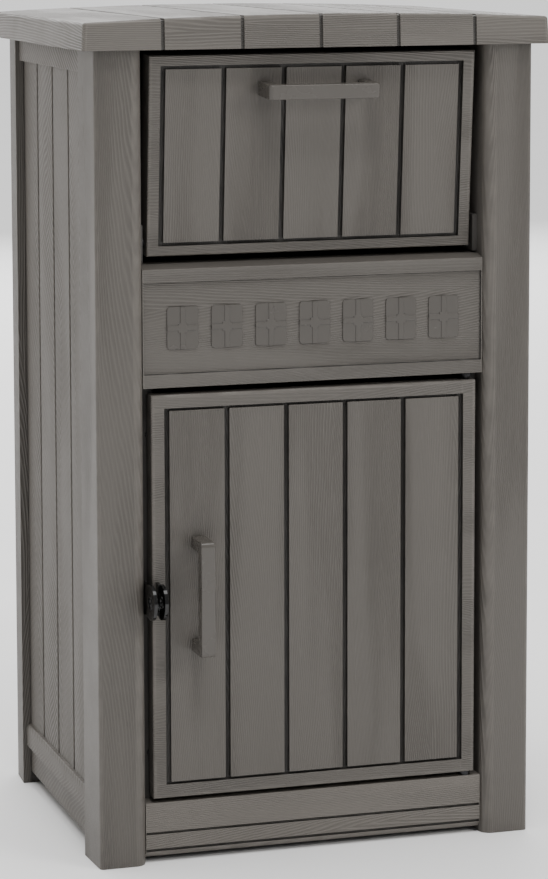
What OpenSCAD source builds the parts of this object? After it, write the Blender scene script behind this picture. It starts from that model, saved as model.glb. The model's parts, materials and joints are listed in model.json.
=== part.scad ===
// Free-standing parcel drop box in wood-effect resin: a planked cabinet with a fixed lid,
// a tilting drop door with a hopper behind it, and a lockable door to the parcel compartment.
// Millimetres, +Z up, front towards -Y. The origin is on the ground, at the middle of the outline.

/* [Overall] */
// Height from the ground to the crown of the lid
total_h = 1000; // [880:1:1200]
// Width over the four posts
cab_w = 544; // [500:1:660]
// Depth over the four posts
cab_d = 430; // [380:1:520]

/* [Posts] */
// Width of a post's front or rear face
post_face_w = 61; // [50:1:70]
// Width of a front post's outward face
front_post_side = 63; // [50:1:75]
// Width of a rear post's outward face
rear_post_side = 46; // [42:1:70]
// Wall of a post
post_wall = 4; // [3:0.5:5]
// How far the outward face leans in across its width
post_draft = 3; // [0:0.5:4]
// Radius of the corner beside the doors
post_inner_r = 14; // [6:1:18]
// Radius of the outer corner
post_outer_r = 4; // [2:0.5:8]

/* [Side and rear panels] */
// Set back of the plank faces from the posts
panel_inset = 11; // [9:1:14]
// Thickness of a panel
panel_t = 6; // [5:0.5:8]
// Raised height of the rails on a side panel
side_rail_proud = 6; // [2:0.5:8]
// Height of the lower raised rail
side_rail_h = 28; // [20:1:40]
// Height of the lower raised rail's foot above the ground
side_rail_z = 50; // [40:1:60]
// Height of the upper raised rail below the lid's lower edge
top_rail_h = 28; // [20:1:40]
// Spacing of the grooves in a side panel
side_plank_pitch = 78; // [70:1:84]
// Width of the rearmost plank of a side panel
side_first_plank = 72; // [60:1:80]
// Planks in the rear panel
rear_planks = 5; // [3:1:6]
// Gap under the panels and rails
ground_gap = 15; // [10:1:20]

/* [Lid] */
// Height of the lid's edge
lid_edge_h = 32; // [26:1:40]
// Rise of the crown at the middle
lid_crown = 7; // [3:1:10]
// Overhang at each side
lid_side_over = 14; // [8:1:20]
// Overhang at the front
lid_front_over = 15; // [8:1:25]
// Overhang at the rear
lid_rear_over = 7; // [6:1:15]
// Thickness of the lid's skin
lid_skin = 5; // [4:0.5:6]
// Planks across the lid
lid_planks = 6; // [4:1:8]

/* [Front rails] */
// Set back of the rails from the posts
rail_inset = 9; // [7:1:10]
// Height of the bottom rail's upper edge
bottom_rail_top = 72.5; // [66:0.5:80]
// Height of the groove between the bottom rail's two boards
bottom_rail_split = 35.5; // [28:0.5:50]
// Height of the lip under the bottom rail
bottom_lip_h = 8; // [4:0.5:12]
// Height of the name panel's lower edge
name_z = 567; // [540:1:600]
// Height of the name panel's front edge
name_h = 139; // [125:1:150]
// Margin above and below the recessed band
name_margin = 16; // [12:1:20]
// Depth of the recessed band
name_recess = 3; // [2:0.5:4]
// Thickness of the front boards
rail_t = 8; // [7:0.5:9]

/* [Parcel door] */
// Side gap between a door and the posts
door_side_gap = 9; // [8:0.5:12]
// Gap over the parcel door
door_top_gap = 8; // [5:0.5:10]
// Gap under the parcel door
door_bottom_gap = 5.5; // [4:0.5:8]
// Set back of the door's face from the posts
door_inset = 6.5; // [5:0.5:8]
// Thickness of the door at its edge
door_t = 20; // [20:0.5:22]
// Thickness of the door's planked skin
door_skin = 9; // [8:0.5:10]
// Width of the plain stile round the planks
stile_w = 16; // [15:0.5:20]
// Width of a groove
groove_w = 6; // [4:0.5:7]
// Width of the grooves along the head and foot of the parcel door's planks
door_border = 3; // [2:0.5:6]
// Depth of a groove
groove_depth = 6; // [4:0.5:7]
// Planks across a door
door_planks = 5; // [3:1:7]
// Radius of a hinge pin
hinge_pin_r = 4; // [3.5:0.25:4.5]

/* [Drop door] */
// Lean of the drop door at rest, in degrees
drop_lean = 4.34; // [2:0.01:6]
// Set back of the pivot from the front of the posts
pivot_back = 45; // [43:1:48]
// Height of the pivot above the name panel's front edge
pivot_rise = 28.3; // [28:0.1:34]
// Width of the grooves along the head and foot of the drop door's planks
drop_border = 4; // [2:0.5:6]
// Distance from the pivot to the door's face
drop_face = 18; // [17:0.5:18]
// Length of the door below its pivot
drop_tail = 14; // [13.5:0.5:14]
// Gap between the door's top and the lid's lower edge
drop_top_gap = 5; // [4:0.5:8]
// Depth of the hopper's tray from the pivot
tray_reach = 215; // [180:1:220]
// Angle between the drop door and the tray
tray_angle = 105; // [95:1:110]
// Thickness of the hopper's sheets
sheet_t = 3; // [2:0.5:4]
// Radius of a pivot pin
pivot_r = 5; // [4:0.5:6]

/* [Handles] */
// Length of a handle
handle_len = 137; // [110:1:160]
// Width of a handle
handle_w = 17; // [14:1:20]
// Reach of a handle from the door's face
handle_reach = 43.5; // [38:0.5:50]
// Thickness of the bar
handle_bar = 15; // [10:1:18]
// Radius of the bar's outer corners
handle_r = 6; // [2:0.5:10]
// Distance from the parcel door's free edge to its handle's middle
door_handle_in = 56; // [48:1:70]
// Height of the parcel door handle's middle above the door's foot
door_handle_z = 244; // [200:1:300]
// Distance from the drop door's top to its handle's middle
drop_handle_down = 40; // [30:1:60]

/* [Padlock ears] */
// Radius of an ear's disc
ear_r = 21; // [16:1:24]
// Thickness of an ear
ear_t = 4; // [3:0.5:5]
// Radius of the padlock hole
ear_hole_r = 6; // [4:0.5:8]
// Height of the ears above the door's foot
ear_z = 241; // [200:1:300]

/* [Floor and anchors] */
// Height of the floor sheet's underside
floor_z = 26; // [24:1:32]
// Thickness of the floor sheet
floor_t = 8; // [6:1:10]
// Spacing of the anchor holes across the width
anchor_x = 400; // [360:5:400]
// Spacing of the anchor holes front to back
anchor_y = 260; // [200:5:260]
// Radius of an anchor hole
anchor_r = 4.5; // [3:0.5:5]

/* [Hidden] */
$fn = 48;

resin = "#6f6a63";
resin_light = "#858079";
resin_dark = "#4a4641";
black = "#1c1b1a";
steel = "#b9bbbd";

eps = 0.01;
arc_steps = 6;
fit_gap = 0.3;
run_gap = 0.05;
clear = 1;

// Places along Y: the outline runs from the handles at the front to the lid at the rear
front_reach = handle_reach - door_inset;
front_y = (front_reach - lid_rear_over - cab_d) / 2;
rear_y = front_y + cab_d;
half_w = cab_w / 2;
inner_x = half_w - post_face_w;
front_post_back = front_y + front_post_side;
rear_post_front = rear_y - rear_post_side;

// Heights under the lid
lid_z = total_h - lid_crown - lid_edge_h;
wall_top = total_h - lid_crown - lid_skin;

// Panels between the posts, held in slots
slot_depth = 8;
slot_land = 3.5;
panel_x = half_w - panel_inset;
panel_in_x = panel_x - panel_t;
rear_panel_y = rear_y - panel_inset;
rear_panel_in = rear_panel_y - panel_t;
panel_groove = 3;
rail_bevel = 5;
rear_rail_proud = side_rail_proud / 2;
ledge_t = 6;
ledge_w = 12;
anchor_tube_wall = 9;

// Front boards
rail_y = front_y + rail_inset;
rail_back = rail_y + rail_t;
flange_t = 6;
web_step = 4;
header_flange = 22;
name_top = name_z + name_h;
sill_rise = 4;
sill_run = 16;
sill_back = front_y + 58;
recess_slope = 1;
rail_split_w = 3;
lip_slope = 5;
icon_count = 7;
icon_w = 38;
icon_h = 50;
icon_line = 6;
icon_proud = 2.5;
icon_step = 1;
icon_row_end = 30;

// Parcel door
door_x = inner_x - door_side_gap;
door_face = front_y + door_inset;
door_back = door_face + door_t;
door_z0 = bottom_rail_top + door_bottom_gap;
door_z1 = name_z - door_top_gap;
edge_wall = 4;
liner_t = 4;
hinge_in = 9;
hinge_x = door_x - hinge_in;
hinge_y = door_face + door_t / 2;
hinge_boss = 18;
hinge_boss_h = 32;
hinge_depth = 26;
collar_r = 7;
collar_h = 4;
pin_end_gap = 2;
jamb_gap = 5.5;
jamb_y = door_back + jamb_gap;
jamb_t = 4;
jamb_stop = 17;
jamb_back_gap = 2;
bumper_r = 4;
bumper_in = 5;
bumper_z_in = 50;
bumper_gap = 0.2;

// Drop door, drawn upright about its pivot and then leaned
pivot_y = front_y + pivot_back;
pivot_z = name_top + pivot_rise;
drop_side_step = 1.5;
drop_x = door_x - drop_side_step;
drop_t = 28;
drop_skin = 8;
drop_head = 12;
drop_stile_step = 2;
drop_top = (lid_z - drop_top_gap - pivot_z) / cos(drop_lean) - drop_face * tan(drop_lean);
cheek_x = drop_x - edge_wall - fit_gap;
cheek_r = drop_top - 6;
cheek_foot = 6;
cheek_corner = 2;
cheek_a = 84;
tray_from = 14;
tray_lip = 14;
bracket_t = 6;
bracket_h = 44;
bracket_d = 34;
bracket_screw_in = 7;
pin_head_r = 7.5;
boss_wall = 2;

// Screws
screw_r = 2.1;
screw_head_r = 3.8;
screw_head_t = 2.6;
block_pilot = 4;
handle_pilot = 14;
ear_pilot = 6;
bore_spare = 2;
pilot_spare = 0.5;

function arc(cx, cy, r, a0, a1) =
  [for (i = [0 : arc_steps]) let (a = a0 + (a1 - a0) * i / arc_steps) [cx + r * cos(a), cy + r * sin(a)]];

function round_box(x0, y0, x1, y1, r) = concat(
  arc(x0 + r, y0 + r, r, 180, 270), arc(x1 - r, y0 + r, r, 270, 360),
  arc(x1 - r, y1 - r, r, 0, 90), arc(x0 + r, y1 - r, r, 90, 180));

// A post's outline: x from the outward face, y from the front or rear face, inset by a wall
function post_outline(side, wall) = let (
    ro = max(post_outer_r - wall, 1),
    ri = max(post_inner_r - wall, 2),
    x0 = post_draft + wall, x1 = post_face_w - wall, y1 = side - wall
  ) concat(
    arc(x0 + ro, wall + ro, ro, 180, 270),
    arc(x1 - ri, wall + ri, ri, 270, 360),
    [[x1, y1], [wall, y1]]);

module box(x0, y0, z0, x1, y1, z1) {
  translate([x0, y0, z0]) cube([x1 - x0, y1 - y0, z1 - z0]);
}

// A pan-headed screw along +Z: its head sits below z = 0, and its shank above
module screw(length) {
  translate([0, 0, -screw_head_t]) cylinder(r = screw_head_r, h = screw_head_t);
  translate([0, 0, -eps]) cylinder(r = screw_r, h = length + eps);
}

module along_x(dir) {
  rotate([0, 90 * dir, 0]) children();
}

// ---- Posts ----

jamb_screw_in = 60;
jamb_screw_z = [for (i = [0 : 2]) door_z0 + jamb_screw_in + i * ((door_z1 - door_z0) / 2 - jamb_screw_in)];
jamb_screw_y = max(front_post_back - 14, jamb_y + jamb_t + screw_head_r + clear);
bracket_screw_z = [for (s = [-1, 1]) pivot_z + s * (bracket_h / 2 - bracket_screw_in)];

module post_slot(x, y, along_y) {
  sx = along_y ? panel_t + 2 * fit_gap : slot_depth;
  sy = along_y ? slot_depth : panel_t + 2 * fit_gap;
  translate([x, y, -eps]) cube([sx, sy, wall_top + 2 * eps]);
}

// A post with its outward face on x = 0 and its front or rear face on y = 0
module post(side, rear) {
  slot_x = panel_inset - fit_gap;
  land = panel_t + 2 * fit_gap + 2 * slot_land;
  difference() {
    union() {
      difference() {
        linear_extrude(wall_top) polygon(post_outline(side, 0));
        translate([0, 0, -eps]) linear_extrude(wall_top - post_wall) polygon(post_outline(side, post_wall));
      }
      translate([slot_x - slot_land, side - slot_depth - slot_land, 0])
        cube([land, slot_depth + slot_land, wall_top]);
      if (rear)
        translate([post_face_w - slot_depth - slot_land, slot_x - slot_land, 0])
          cube([slot_depth + slot_land, land, wall_top]);
    }
    post_slot(slot_x, side - slot_depth, true);
    if (rear) post_slot(post_face_w - slot_depth, slot_x, false);
  }
}

// Pilot holes in a front post's inner wall, for the jamb, the pivot bracket and the padlock ear
module front_post_holes(left) {
  wall = post_wall + clear;
  x = inner_x - eps;
  for (z = jamb_screw_z) translate([x, jamb_screw_y, z]) along_x(1) cylinder(r = screw_r, h = wall);
  for (z = bracket_screw_z) translate([x, pivot_y, z]) along_x(1) cylinder(r = screw_r, h = wall);
  if (left) for (z = ear_screw_z) translate([x, ear_plate_y, z]) along_x(1) cylinder(r = screw_r, h = wall);
}

module front_post(left) {
  color(resin) difference() {
    translate([half_w, front_y, 0]) mirror([1, 0, 0]) post(front_post_side, false);
    front_post_holes(left);
  }
}

module rear_post() {
  color(resin) translate([half_w, rear_y, 0]) mirror([0, 1, 0]) mirror([1, 0, 0]) post(rear_post_side, true);
}

module front_left_post() {
  mirror([1, 0, 0]) front_post(true);
}

module front_right_post() {
  front_post(false);
}

module rear_left_post() {
  mirror([1, 0, 0]) rear_post();
}

module rear_right_post() {
  rear_post();
}

// ---- Panels ----

tongue = slot_depth - fit_gap;

// A raised rail with a bevelled upper edge, proud of the panel towards +X
module side_rail(z0, z1) {
  p = side_rail_proud;
  y0 = front_post_back;
  translate([panel_x, rear_post_front, 0]) rotate([90, 0, 0])
    linear_extrude(rear_post_front - y0)
      polygon([[0, z0], [p, z0], [p, z1 - rail_bevel], [p - rail_bevel / 2, z1], [0, z1]]);
}

module side_panel() {
  groove_z0 = side_rail_z + side_rail_h;
  color(resin_light) difference() {
    union() {
      box(panel_in_x, front_post_back - tongue, ground_gap, panel_x, rear_post_front + tongue, wall_top);
      side_rail(side_rail_z, groove_z0);
      box(panel_x - eps, front_post_back, lid_z - top_rail_h, panel_x + side_rail_proud,
          rear_post_front, wall_top);
      box(panel_in_x - ledge_w, front_post_back + clear, floor_z - ledge_t, panel_in_x + eps,
          rear_post_front - clear, floor_z);
    }
    y_first = rear_post_front - side_first_plank;
    y_last = front_post_back + side_plank_pitch / 2;
    for (y = [y_first : -side_plank_pitch : y_last])
      box(panel_x - panel_groove, y - groove_w / 2, groove_z0, panel_x + clear, y + groove_w / 2,
          lid_z - top_rail_h);
  }
}

module left_side_panel() {
  mirror([1, 0, 0]) side_panel();
}

module right_side_panel() {
  side_panel();
}

module rear_panel() {
  pitch = 2 * inner_x / rear_planks;
  color(resin_light) difference() {
    union() {
      box(-inner_x - tongue, rear_panel_in, ground_gap, inner_x + tongue, rear_panel_y, wall_top);
      box(-inner_x, rear_panel_y - eps, side_rail_z, inner_x, rear_panel_y + rear_rail_proud,
          side_rail_z + side_rail_h);
      box(-inner_x, rear_panel_y - eps, lid_z - top_rail_h, inner_x, rear_panel_y + rear_rail_proud,
          wall_top);
      box(-inner_x + clear, rear_panel_in - ledge_w, floor_z - ledge_t, inner_x - clear, rear_panel_in + eps,
          floor_z);
    }
    for (i = [1 : rear_planks - 1])
      box(-inner_x + i * pitch - groove_w / 2, rear_panel_y - panel_groove, side_rail_z + side_rail_h,
          -inner_x + i * pitch + groove_w / 2, rear_panel_y + clear, lid_z - top_rail_h);
  }
}

// The floor sheet stands on ledges, and its four anchor tubes reach the ground
module floor_panel() {
  mid_y = (front_y + rear_y) / 2;
  tube_r = anchor_r + anchor_tube_wall;
  color(resin_dark) difference() {
    union() {
      box(-panel_in_x + fit_gap, front_post_back + clear, floor_z, panel_in_x - fit_gap,
          rear_post_front - clear, floor_z + floor_t);
      box(-inner_x + fit_gap, rail_back + fit_gap, floor_z, inner_x - fit_gap, rear_panel_in - fit_gap,
          floor_z + floor_t);
      for (x = [-1, 1], y = [-1, 1])
        translate([x * anchor_x / 2, mid_y + y * anchor_y / 2, 0]) cylinder(r = tube_r, h = floor_z + eps);
    }
    for (x = [-1, 1], y = [-1, 1])
      translate([x * anchor_x / 2, mid_y + y * anchor_y / 2, -eps])
        cylinder(r = anchor_r, h = floor_z + floor_t + 2 * eps);
  }
}

// ---- Lid ----

lid_x = half_w + lid_side_over;
lid_y0 = front_y - lid_front_over;
lid_y1 = rear_y + lid_rear_over;
lid_groove = 2.5;
lid_block = 24;
lid_block_in = 20;
lid_block_x = panel_in_x - lid_block / 2;
lid_block_y = [front_post_back + lid_block_in, rear_post_front - lid_block_in];
crown_steps = 24;

function crown_z(x) = total_h - lid_crown * pow(x / lid_x, 2);

module lid() {
  depth = lid_y1 - lid_y0;
  pitch = 2 * lid_x / lid_planks;
  crown = [for (i = [0 : crown_steps]) let (x = lid_x * (1 - 2 * i / crown_steps)) [x, crown_z(x)]];
  color(resin_light) difference() {
    translate([0, lid_y1, 0]) rotate([90, 0, 0]) linear_extrude(depth)
      polygon(concat([[-lid_x, lid_z], [lid_x, lid_z]], crown));
    box(-lid_x + lid_skin, lid_y0 + lid_skin, lid_z - clear, lid_x - lid_skin, lid_y1 - lid_skin, wall_top);
    for (i = [1 : lid_planks - 1]) {
      x = -lid_x + i * pitch;
      x0 = x - groove_w / 2;
      x1 = x + groove_w / 2;
      box(x0, lid_y0 - clear, lid_z - clear, x1, lid_y0 + lid_groove, total_h + clear);
      box(x0, lid_y0 - clear, crown_z(x) - lid_groove, x1, lid_y1 + clear, total_h + clear);
      box(x0, lid_y1 - lid_groove, lid_z - clear, x1, lid_y1 + clear, total_h + clear);
    }
    for (s = [-1, 1], y = lid_block_y)
      translate([s * lid_block_x, y, wall_top - eps]) cylinder(r = screw_r, h = block_pilot + pilot_spare);
  }
}

module lid_corner_blocks() {
  color(resin_dark) for (s = [-1, 1], y = lid_block_y) difference() {
    box(s * lid_block_x - lid_block / 2, y - lid_block / 2, wall_top - lid_block,
        s * lid_block_x + lid_block / 2, y + lid_block / 2, wall_top);
    translate([s * lid_block_x, y, wall_top - lid_block - eps])
      cylinder(r = screw_r, h = lid_block + clear);
  }
}

module lid_screws() {
  color(steel) for (s = [-1, 1], y = lid_block_y)
    translate([s * lid_block_x, y, wall_top - lid_block]) screw(lid_block + block_pilot);
}

// ---- Front rails ----

module header_rail() {
  color(resin) {
    box(-inner_x, rail_y, lid_z - clear, inner_x, rail_back, wall_top);
    box(-inner_x, rail_back - eps, wall_top - flange_t, inner_x, rail_back + header_flange, wall_top);
  }
}

// Outline of the name panel across its depth: y to the right, z up
module name_section() {
  z0 = name_z;
  z1 = name_top;
  m = name_margin;
  e = recess_slope;
  polygon([
    [rail_y, z0], [rail_y, z0 + m - e], [rail_y + name_recess, z0 + m + e],
    [rail_y + name_recess, z1 - m - e], [rail_y, z1 - m + e], [rail_y, z1],
    [rail_y + sill_run, z1 + sill_rise], [sill_back, z1 + sill_rise],
    [sill_back, z1 + sill_rise - flange_t], [rail_back, z1 + sill_rise - flange_t - web_step],
    [rail_back, z0 + flange_t], [sill_back, z0 + flange_t], [sill_back, z0]
  ]);
}

// One plain parcel in relief, centred on x, z, with its two straps raised further
module parcel_icon(x, z) {
  y0 = rail_y + name_recess - icon_proud;
  y1 = rail_y + name_recess + clear;
  w = icon_w / 2;
  h = icon_h / 2;
  box(x - w, y0 + icon_step, z - h, x + w, y1, z + h);
  box(x - icon_line / 2, y0, z - h, x + icon_line / 2, y1, z + h);
  box(x - w, y0, z - icon_line / 2, x + w, y1, z + icon_line / 2);
}

module name_panel() {
  pitch = (2 * (inner_x - icon_row_end) - icon_w) / (icon_count - 1);
  color(resin) difference() {
    union() {
      translate([-inner_x, 0, 0]) rotate([90, 0, 90]) linear_extrude(2 * inner_x) name_section();
      for (i = [0 : icon_count - 1])
        parcel_icon((i - (icon_count - 1) / 2) * pitch, name_z + name_h / 2);
    }
    translate([hinge_x, hinge_y, name_z - clear]) cylinder(r = hinge_pin_r, h = flange_t + 2 * clear);
  }
}

// Outline of the bottom rail's board across its depth, with its sloped lip: y to the right, z up
module bottom_section() {
  lip_z = ground_gap - bottom_lip_h;
  polygon([
    [rail_y, ground_gap], [rail_y, bottom_rail_top], [rail_back, bottom_rail_top],
    [rail_back, lip_z], [rail_y + lip_slope, lip_z]
  ]);
}

module bottom_rail() {
  z1 = bottom_rail_top;
  w = rail_split_w;
  color(resin) difference() {
    union() {
      translate([-inner_x, 0, 0]) rotate([90, 0, 90]) linear_extrude(2 * inner_x) bottom_section();
      box(-inner_x, rail_back - eps, z1 - flange_t, inner_x, jamb_y + jamb_t, z1);
      box(-inner_x, rail_back - eps, floor_z - ledge_t, inner_x, rail_back + ledge_w, floor_z);
    }
    for (z = [bottom_rail_split, ground_gap])
      box(-inner_x - clear, rail_y - clear, z - w / 2, inner_x + clear, rail_y + w, z + w / 2);
    translate([hinge_x, hinge_y, z1 - flange_t - clear]) cylinder(r = hinge_pin_r, h = flange_t + 2 * clear);
  }
}

// A jamb: one leg on the post's inner face, one leg as the stop behind the door's stile
module jamb() {
  z0 = bottom_rail_top;
  z1 = name_z;
  color(resin_dark) difference() {
    union() {
      box(inner_x - jamb_t, jamb_y, z0, inner_x, front_post_back - jamb_back_gap, z1);
      box(inner_x - jamb_stop, jamb_y, z0, inner_x, jamb_y + jamb_t, z1);
    }
    for (z = jamb_screw_z)
      translate([inner_x - jamb_t - clear, jamb_screw_y, z]) along_x(1)
        cylinder(r = screw_r, h = jamb_t + 2 * clear);
  }
}

module left_jamb() {
  mirror([1, 0, 0]) jamb();
}

module right_jamb() {
  jamb();
}

module jamb_screws() {
  color(steel) for (s = [-1, 1], z = jamb_screw_z)
    translate([s * (inner_x - jamb_t), jamb_screw_y, z]) along_x(s) screw(jamb_t + post_wall);
}

// Rubber bumpers on the left jamb, which the shut door rests against
module door_bumpers() {
  color(black) for (z = [door_z0 + bumper_z_in, door_z1 - bumper_z_in])
    translate([-inner_x + jamb_stop - bumper_in, jamb_y, z]) rotate([90, 0, 0])
      cylinder(r = bumper_r, h = jamb_gap - bumper_gap);
}

// ---- Pivots and hinges ----

module pivot_bracket() {
  color(resin_dark) difference() {
    box(inner_x - bracket_t, pivot_y - bracket_d / 2, pivot_z - bracket_h / 2,
        inner_x, pivot_y + bracket_d / 2, pivot_z + bracket_h / 2);
    translate([inner_x - bracket_t - clear, pivot_y, pivot_z]) along_x(1)
      cylinder(r = pivot_r + run_gap, h = bracket_t + 2 * clear);
    for (z = bracket_screw_z)
      translate([inner_x - bracket_t - clear, pivot_y, z]) along_x(1)
        cylinder(r = screw_r, h = bracket_t + 2 * clear);
  }
}

module left_pivot_bracket() {
  mirror([1, 0, 0]) pivot_bracket();
}

module right_pivot_bracket() {
  pivot_bracket();
}

module pivot_bracket_screws() {
  color(steel) for (s = [-1, 1], z = bracket_screw_z)
    translate([s * (inner_x - bracket_t), pivot_y, z]) along_x(s) screw(bracket_t + post_wall);
}

module hinge_pin(flange_end, tip_z) {
  translate([hinge_x, hinge_y, min(flange_end, tip_z)])
    cylinder(r = hinge_pin_r, h = abs(tip_z - flange_end));
}

module upper_hinge_pin() {
  color(steel) union() {
    hinge_pin(name_z + flange_t, door_z1 - hinge_depth + pin_end_gap);
    translate([hinge_x, hinge_y, name_z - collar_h]) cylinder(r = collar_r, h = collar_h);
  }
}

module lower_hinge_pin() {
  color(steel) union() {
    hinge_pin(bottom_rail_top - flange_t, door_z0 + hinge_depth - pin_end_gap);
    translate([hinge_x, hinge_y, bottom_rail_top]) cylinder(r = collar_r, h = door_bottom_gap - 2 * run_gap);
  }
}

// ---- Padlock ears ----

ear_hole_z = door_z0 + ear_z;
ear_hole_y = door_face - ear_r;
ear_plate_y = jamb_y - 9;
ear_plate_end = 7;
ear_arm = ear_r * 0.9;
ear_screw_z = [for (s = [-1, 1]) ear_hole_z + s * ear_r * 2 / 3];
door_ear_x = -door_x + stile_w / 2;
door_ear_screw_z = [for (s = [-1, 1]) ear_hole_z + s * ear_r * 4 / 7];
ear_boss_r = 4;
ear_boss_h = 8;

// A disc with a padlock hole, its thickness from x = 0 towards +X
module ear_disc() {
  difference() {
    union() {
      translate([0, ear_hole_y, ear_hole_z]) along_x(1) cylinder(r = ear_r, h = ear_t, $fn = 64);
      children();
    }
    translate([-clear, ear_hole_y, ear_hole_z]) along_x(1) cylinder(r = ear_hole_r, h = ear_t + 2 * clear);
  }
}

module frame_padlock_ear() {
  color(black) translate([-inner_x, 0, 0]) difference() {
    ear_disc()
      box(0, ear_hole_y, ear_hole_z - ear_arm, ear_t, ear_plate_y + ear_plate_end, ear_hole_z + ear_arm);
    for (z = ear_screw_z)
      translate([-clear, ear_plate_y, z]) along_x(1) cylinder(r = screw_r, h = ear_t + 2 * clear);
  }
}

module frame_ear_screws() {
  color(steel) for (z = ear_screw_z)
    translate([-inner_x + ear_t, ear_plate_y, z]) along_x(-1) screw(ear_t + post_wall);
}

module door_padlock_ear() {
  color(black) translate([door_ear_x - ear_t / 2, 0, 0]) difference() {
    ear_disc() {
      box(0, ear_hole_y, ear_hole_z - ear_arm, ear_t, door_face, ear_hole_z + ear_arm);
      for (z = door_ear_screw_z)
        translate([ear_t / 2, door_face, z]) rotate([90, 0, 0]) cylinder(r = ear_boss_r, h = ear_boss_h);
    }
    for (z = door_ear_screw_z)
      translate([ear_t / 2, door_face + eps, z]) rotate([90, 0, 0])
        cylinder(r = screw_r, h = ear_pilot + eps);
  }
}

module door_ear_screws() {
  color(steel) for (z = door_ear_screw_z)
    translate([door_ear_x, door_face + door_skin, z]) rotate([90, 0, 0]) screw(door_skin + ear_pilot);
}

// ---- Handles ----

handle_leg = 14;
handle_inner_r = 6;
handle_screw_x = [for (s = [-1, 1]) s * (handle_len - handle_leg) / 2];

// A bow handle: x along its length, y its reach (towards -Y), centred on z across its width
module handle() {
  l = handle_len / 2;
  r = handle_r;
  inside = l - handle_leg;
  ri = handle_inner_r;
  under = -handle_reach + handle_bar;
  outer = concat([[l, 0], [-l, 0]], arc(-l + r, -handle_reach + r, r, 180, 270),
    arc(l - r, -handle_reach + r, r, 270, 360));
  inner = concat([[inside, clear], [-inside, clear]], arc(-inside + ri, under + ri, ri, 180, 270),
    arc(inside - ri, under + ri, ri, 270, 360));
  difference() {
    translate([0, 0, -handle_w / 2]) linear_extrude(handle_w) difference() {
      polygon(outer);
      polygon(inner);
    }
    for (x = handle_screw_x)
      translate([x, eps, 0]) rotate([90, 0, 0]) cylinder(r = screw_r, h = handle_pilot + bore_spare);
  }
}

module handle_screws(skin) {
  for (x = handle_screw_x) translate([x, skin, 0]) rotate([90, 0, 0]) screw(skin + handle_pilot);
}

module on_parcel_door() {
  translate([-door_x + door_handle_in, door_face, door_z0 + door_handle_z]) rotate([0, 90, 0]) children();
}

module door_handle() {
  color(resin) on_parcel_door() handle();
}

module door_handle_screws() {
  color(steel) on_parcel_door() handle_screws(door_skin);
}

// ---- Parcel door ----

// Grooves of a planked door's face at y = 0: a border and the joints between the planks
module door_grooves(x, z0, z1, border) {
  inner = x - stile_w;
  w = groove_w;
  pitch = (2 * inner - w) / door_planks;
  difference() {
    box(-inner, -clear, z0, inner, groove_depth, z1);
    box(-inner + w, -2 * clear, z0 + border, inner - w, groove_depth + clear, z1 - border);
  }
  for (i = [1 : door_planks - 1])
    box(-inner + i * pitch, -clear, z0, -inner + i * pitch + w, groove_depth, z1);
}

module door_bores() {
  for (z = [door_z0 - eps, door_z1 - hinge_depth])
    translate([hinge_x, hinge_y, z]) cylinder(r = hinge_pin_r + run_gap, h = hinge_depth + eps);
}

module door_skin_holes() {
  on_parcel_door() for (x = handle_screw_x)
    translate([x, door_skin + clear, 0]) rotate([90, 0, 0]) cylinder(r = screw_r, h = door_skin + 2 * clear);
  for (z = door_ear_screw_z)
    translate([door_ear_x, door_face + door_skin + clear, z]) rotate([90, 0, 0])
      cylinder(r = screw_r, h = door_skin + 2 * clear);
}

liner_screw_x = door_x - 30;
liner_screw_in = 45;
liner_screw_z = [for (i = [0 : 2]) door_z0 + liner_screw_in + i * ((door_z1 - door_z0) / 2 - liner_screw_in)];
liner_post_r = 6;

module door_panel() {
  x = door_x;
  w = edge_wall;
  inner_y = door_face + door_skin;
  color(resin) difference() {
    union() {
      difference() {
        box(-x, door_face, door_z0, x, door_back, door_z1);
        box(-x + w, inner_y, door_z0 + w, x - w, door_back + clear, door_z1 - w);
      }
      for (z = [door_z0, door_z1 - hinge_boss_h])
        box(x - hinge_boss, inner_y - eps, z, x, door_back, z + hinge_boss_h);
      for (s = [-1, 1], z = liner_screw_z)
        translate([s * liner_screw_x, inner_y - eps, z]) rotate([-90, 0, 0])
          cylinder(r = liner_post_r, h = door_t - door_skin - liner_t + eps);
    }
    translate([0, door_face, 0]) door_grooves(x, door_z0 + stile_w, door_z1 - stile_w, door_border);
    door_bores();
    door_skin_holes();
    for (s = [-1, 1], z = liner_screw_z)
      translate([s * liner_screw_x, inner_y, z]) rotate([-90, 0, 0]) cylinder(r = screw_r, h = door_t);
  }
}

module door_liner() {
  x = door_x - edge_wall - fit_gap;
  z0 = door_z0 + edge_wall + fit_gap;
  z1 = door_z1 - edge_wall - fit_gap;
  boss = hinge_boss + fit_gap;
  color(resin_dark) difference() {
    box(-x, door_back - liner_t, z0, x, door_back, z1);
    for (z = [z0 - clear, door_z1 - hinge_boss_h - fit_gap])
      box(door_x - boss, door_back - liner_t - clear, z, x + clear, door_back + clear,
          z + hinge_boss_h + clear);
    for (s = [-1, 1], z = liner_screw_z)
      translate([s * liner_screw_x, door_back - liner_t - clear, z]) rotate([-90, 0, 0])
        cylinder(r = screw_r, h = liner_t + 2 * clear);
  }
}

module door_liner_screws() {
  color(steel) for (s = [-1, 1], z = liner_screw_z)
    translate([s * liner_screw_x, door_back, z]) rotate([90, 0, 0]) screw(door_t - door_skin - clear);
}

// ---- Drop door and hopper ----

module leaned() {
  translate([0, pivot_y, pivot_z]) rotate([drop_lean, 0, 0]) children();
}

drop_liner_foot = pivot_r + 9;
drop_liner_low = 25;
drop_liner_high = 22;
drop_liner_z = [drop_liner_low, drop_top - drop_liner_high];
drop_liner_x = drop_x - 24;

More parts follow.
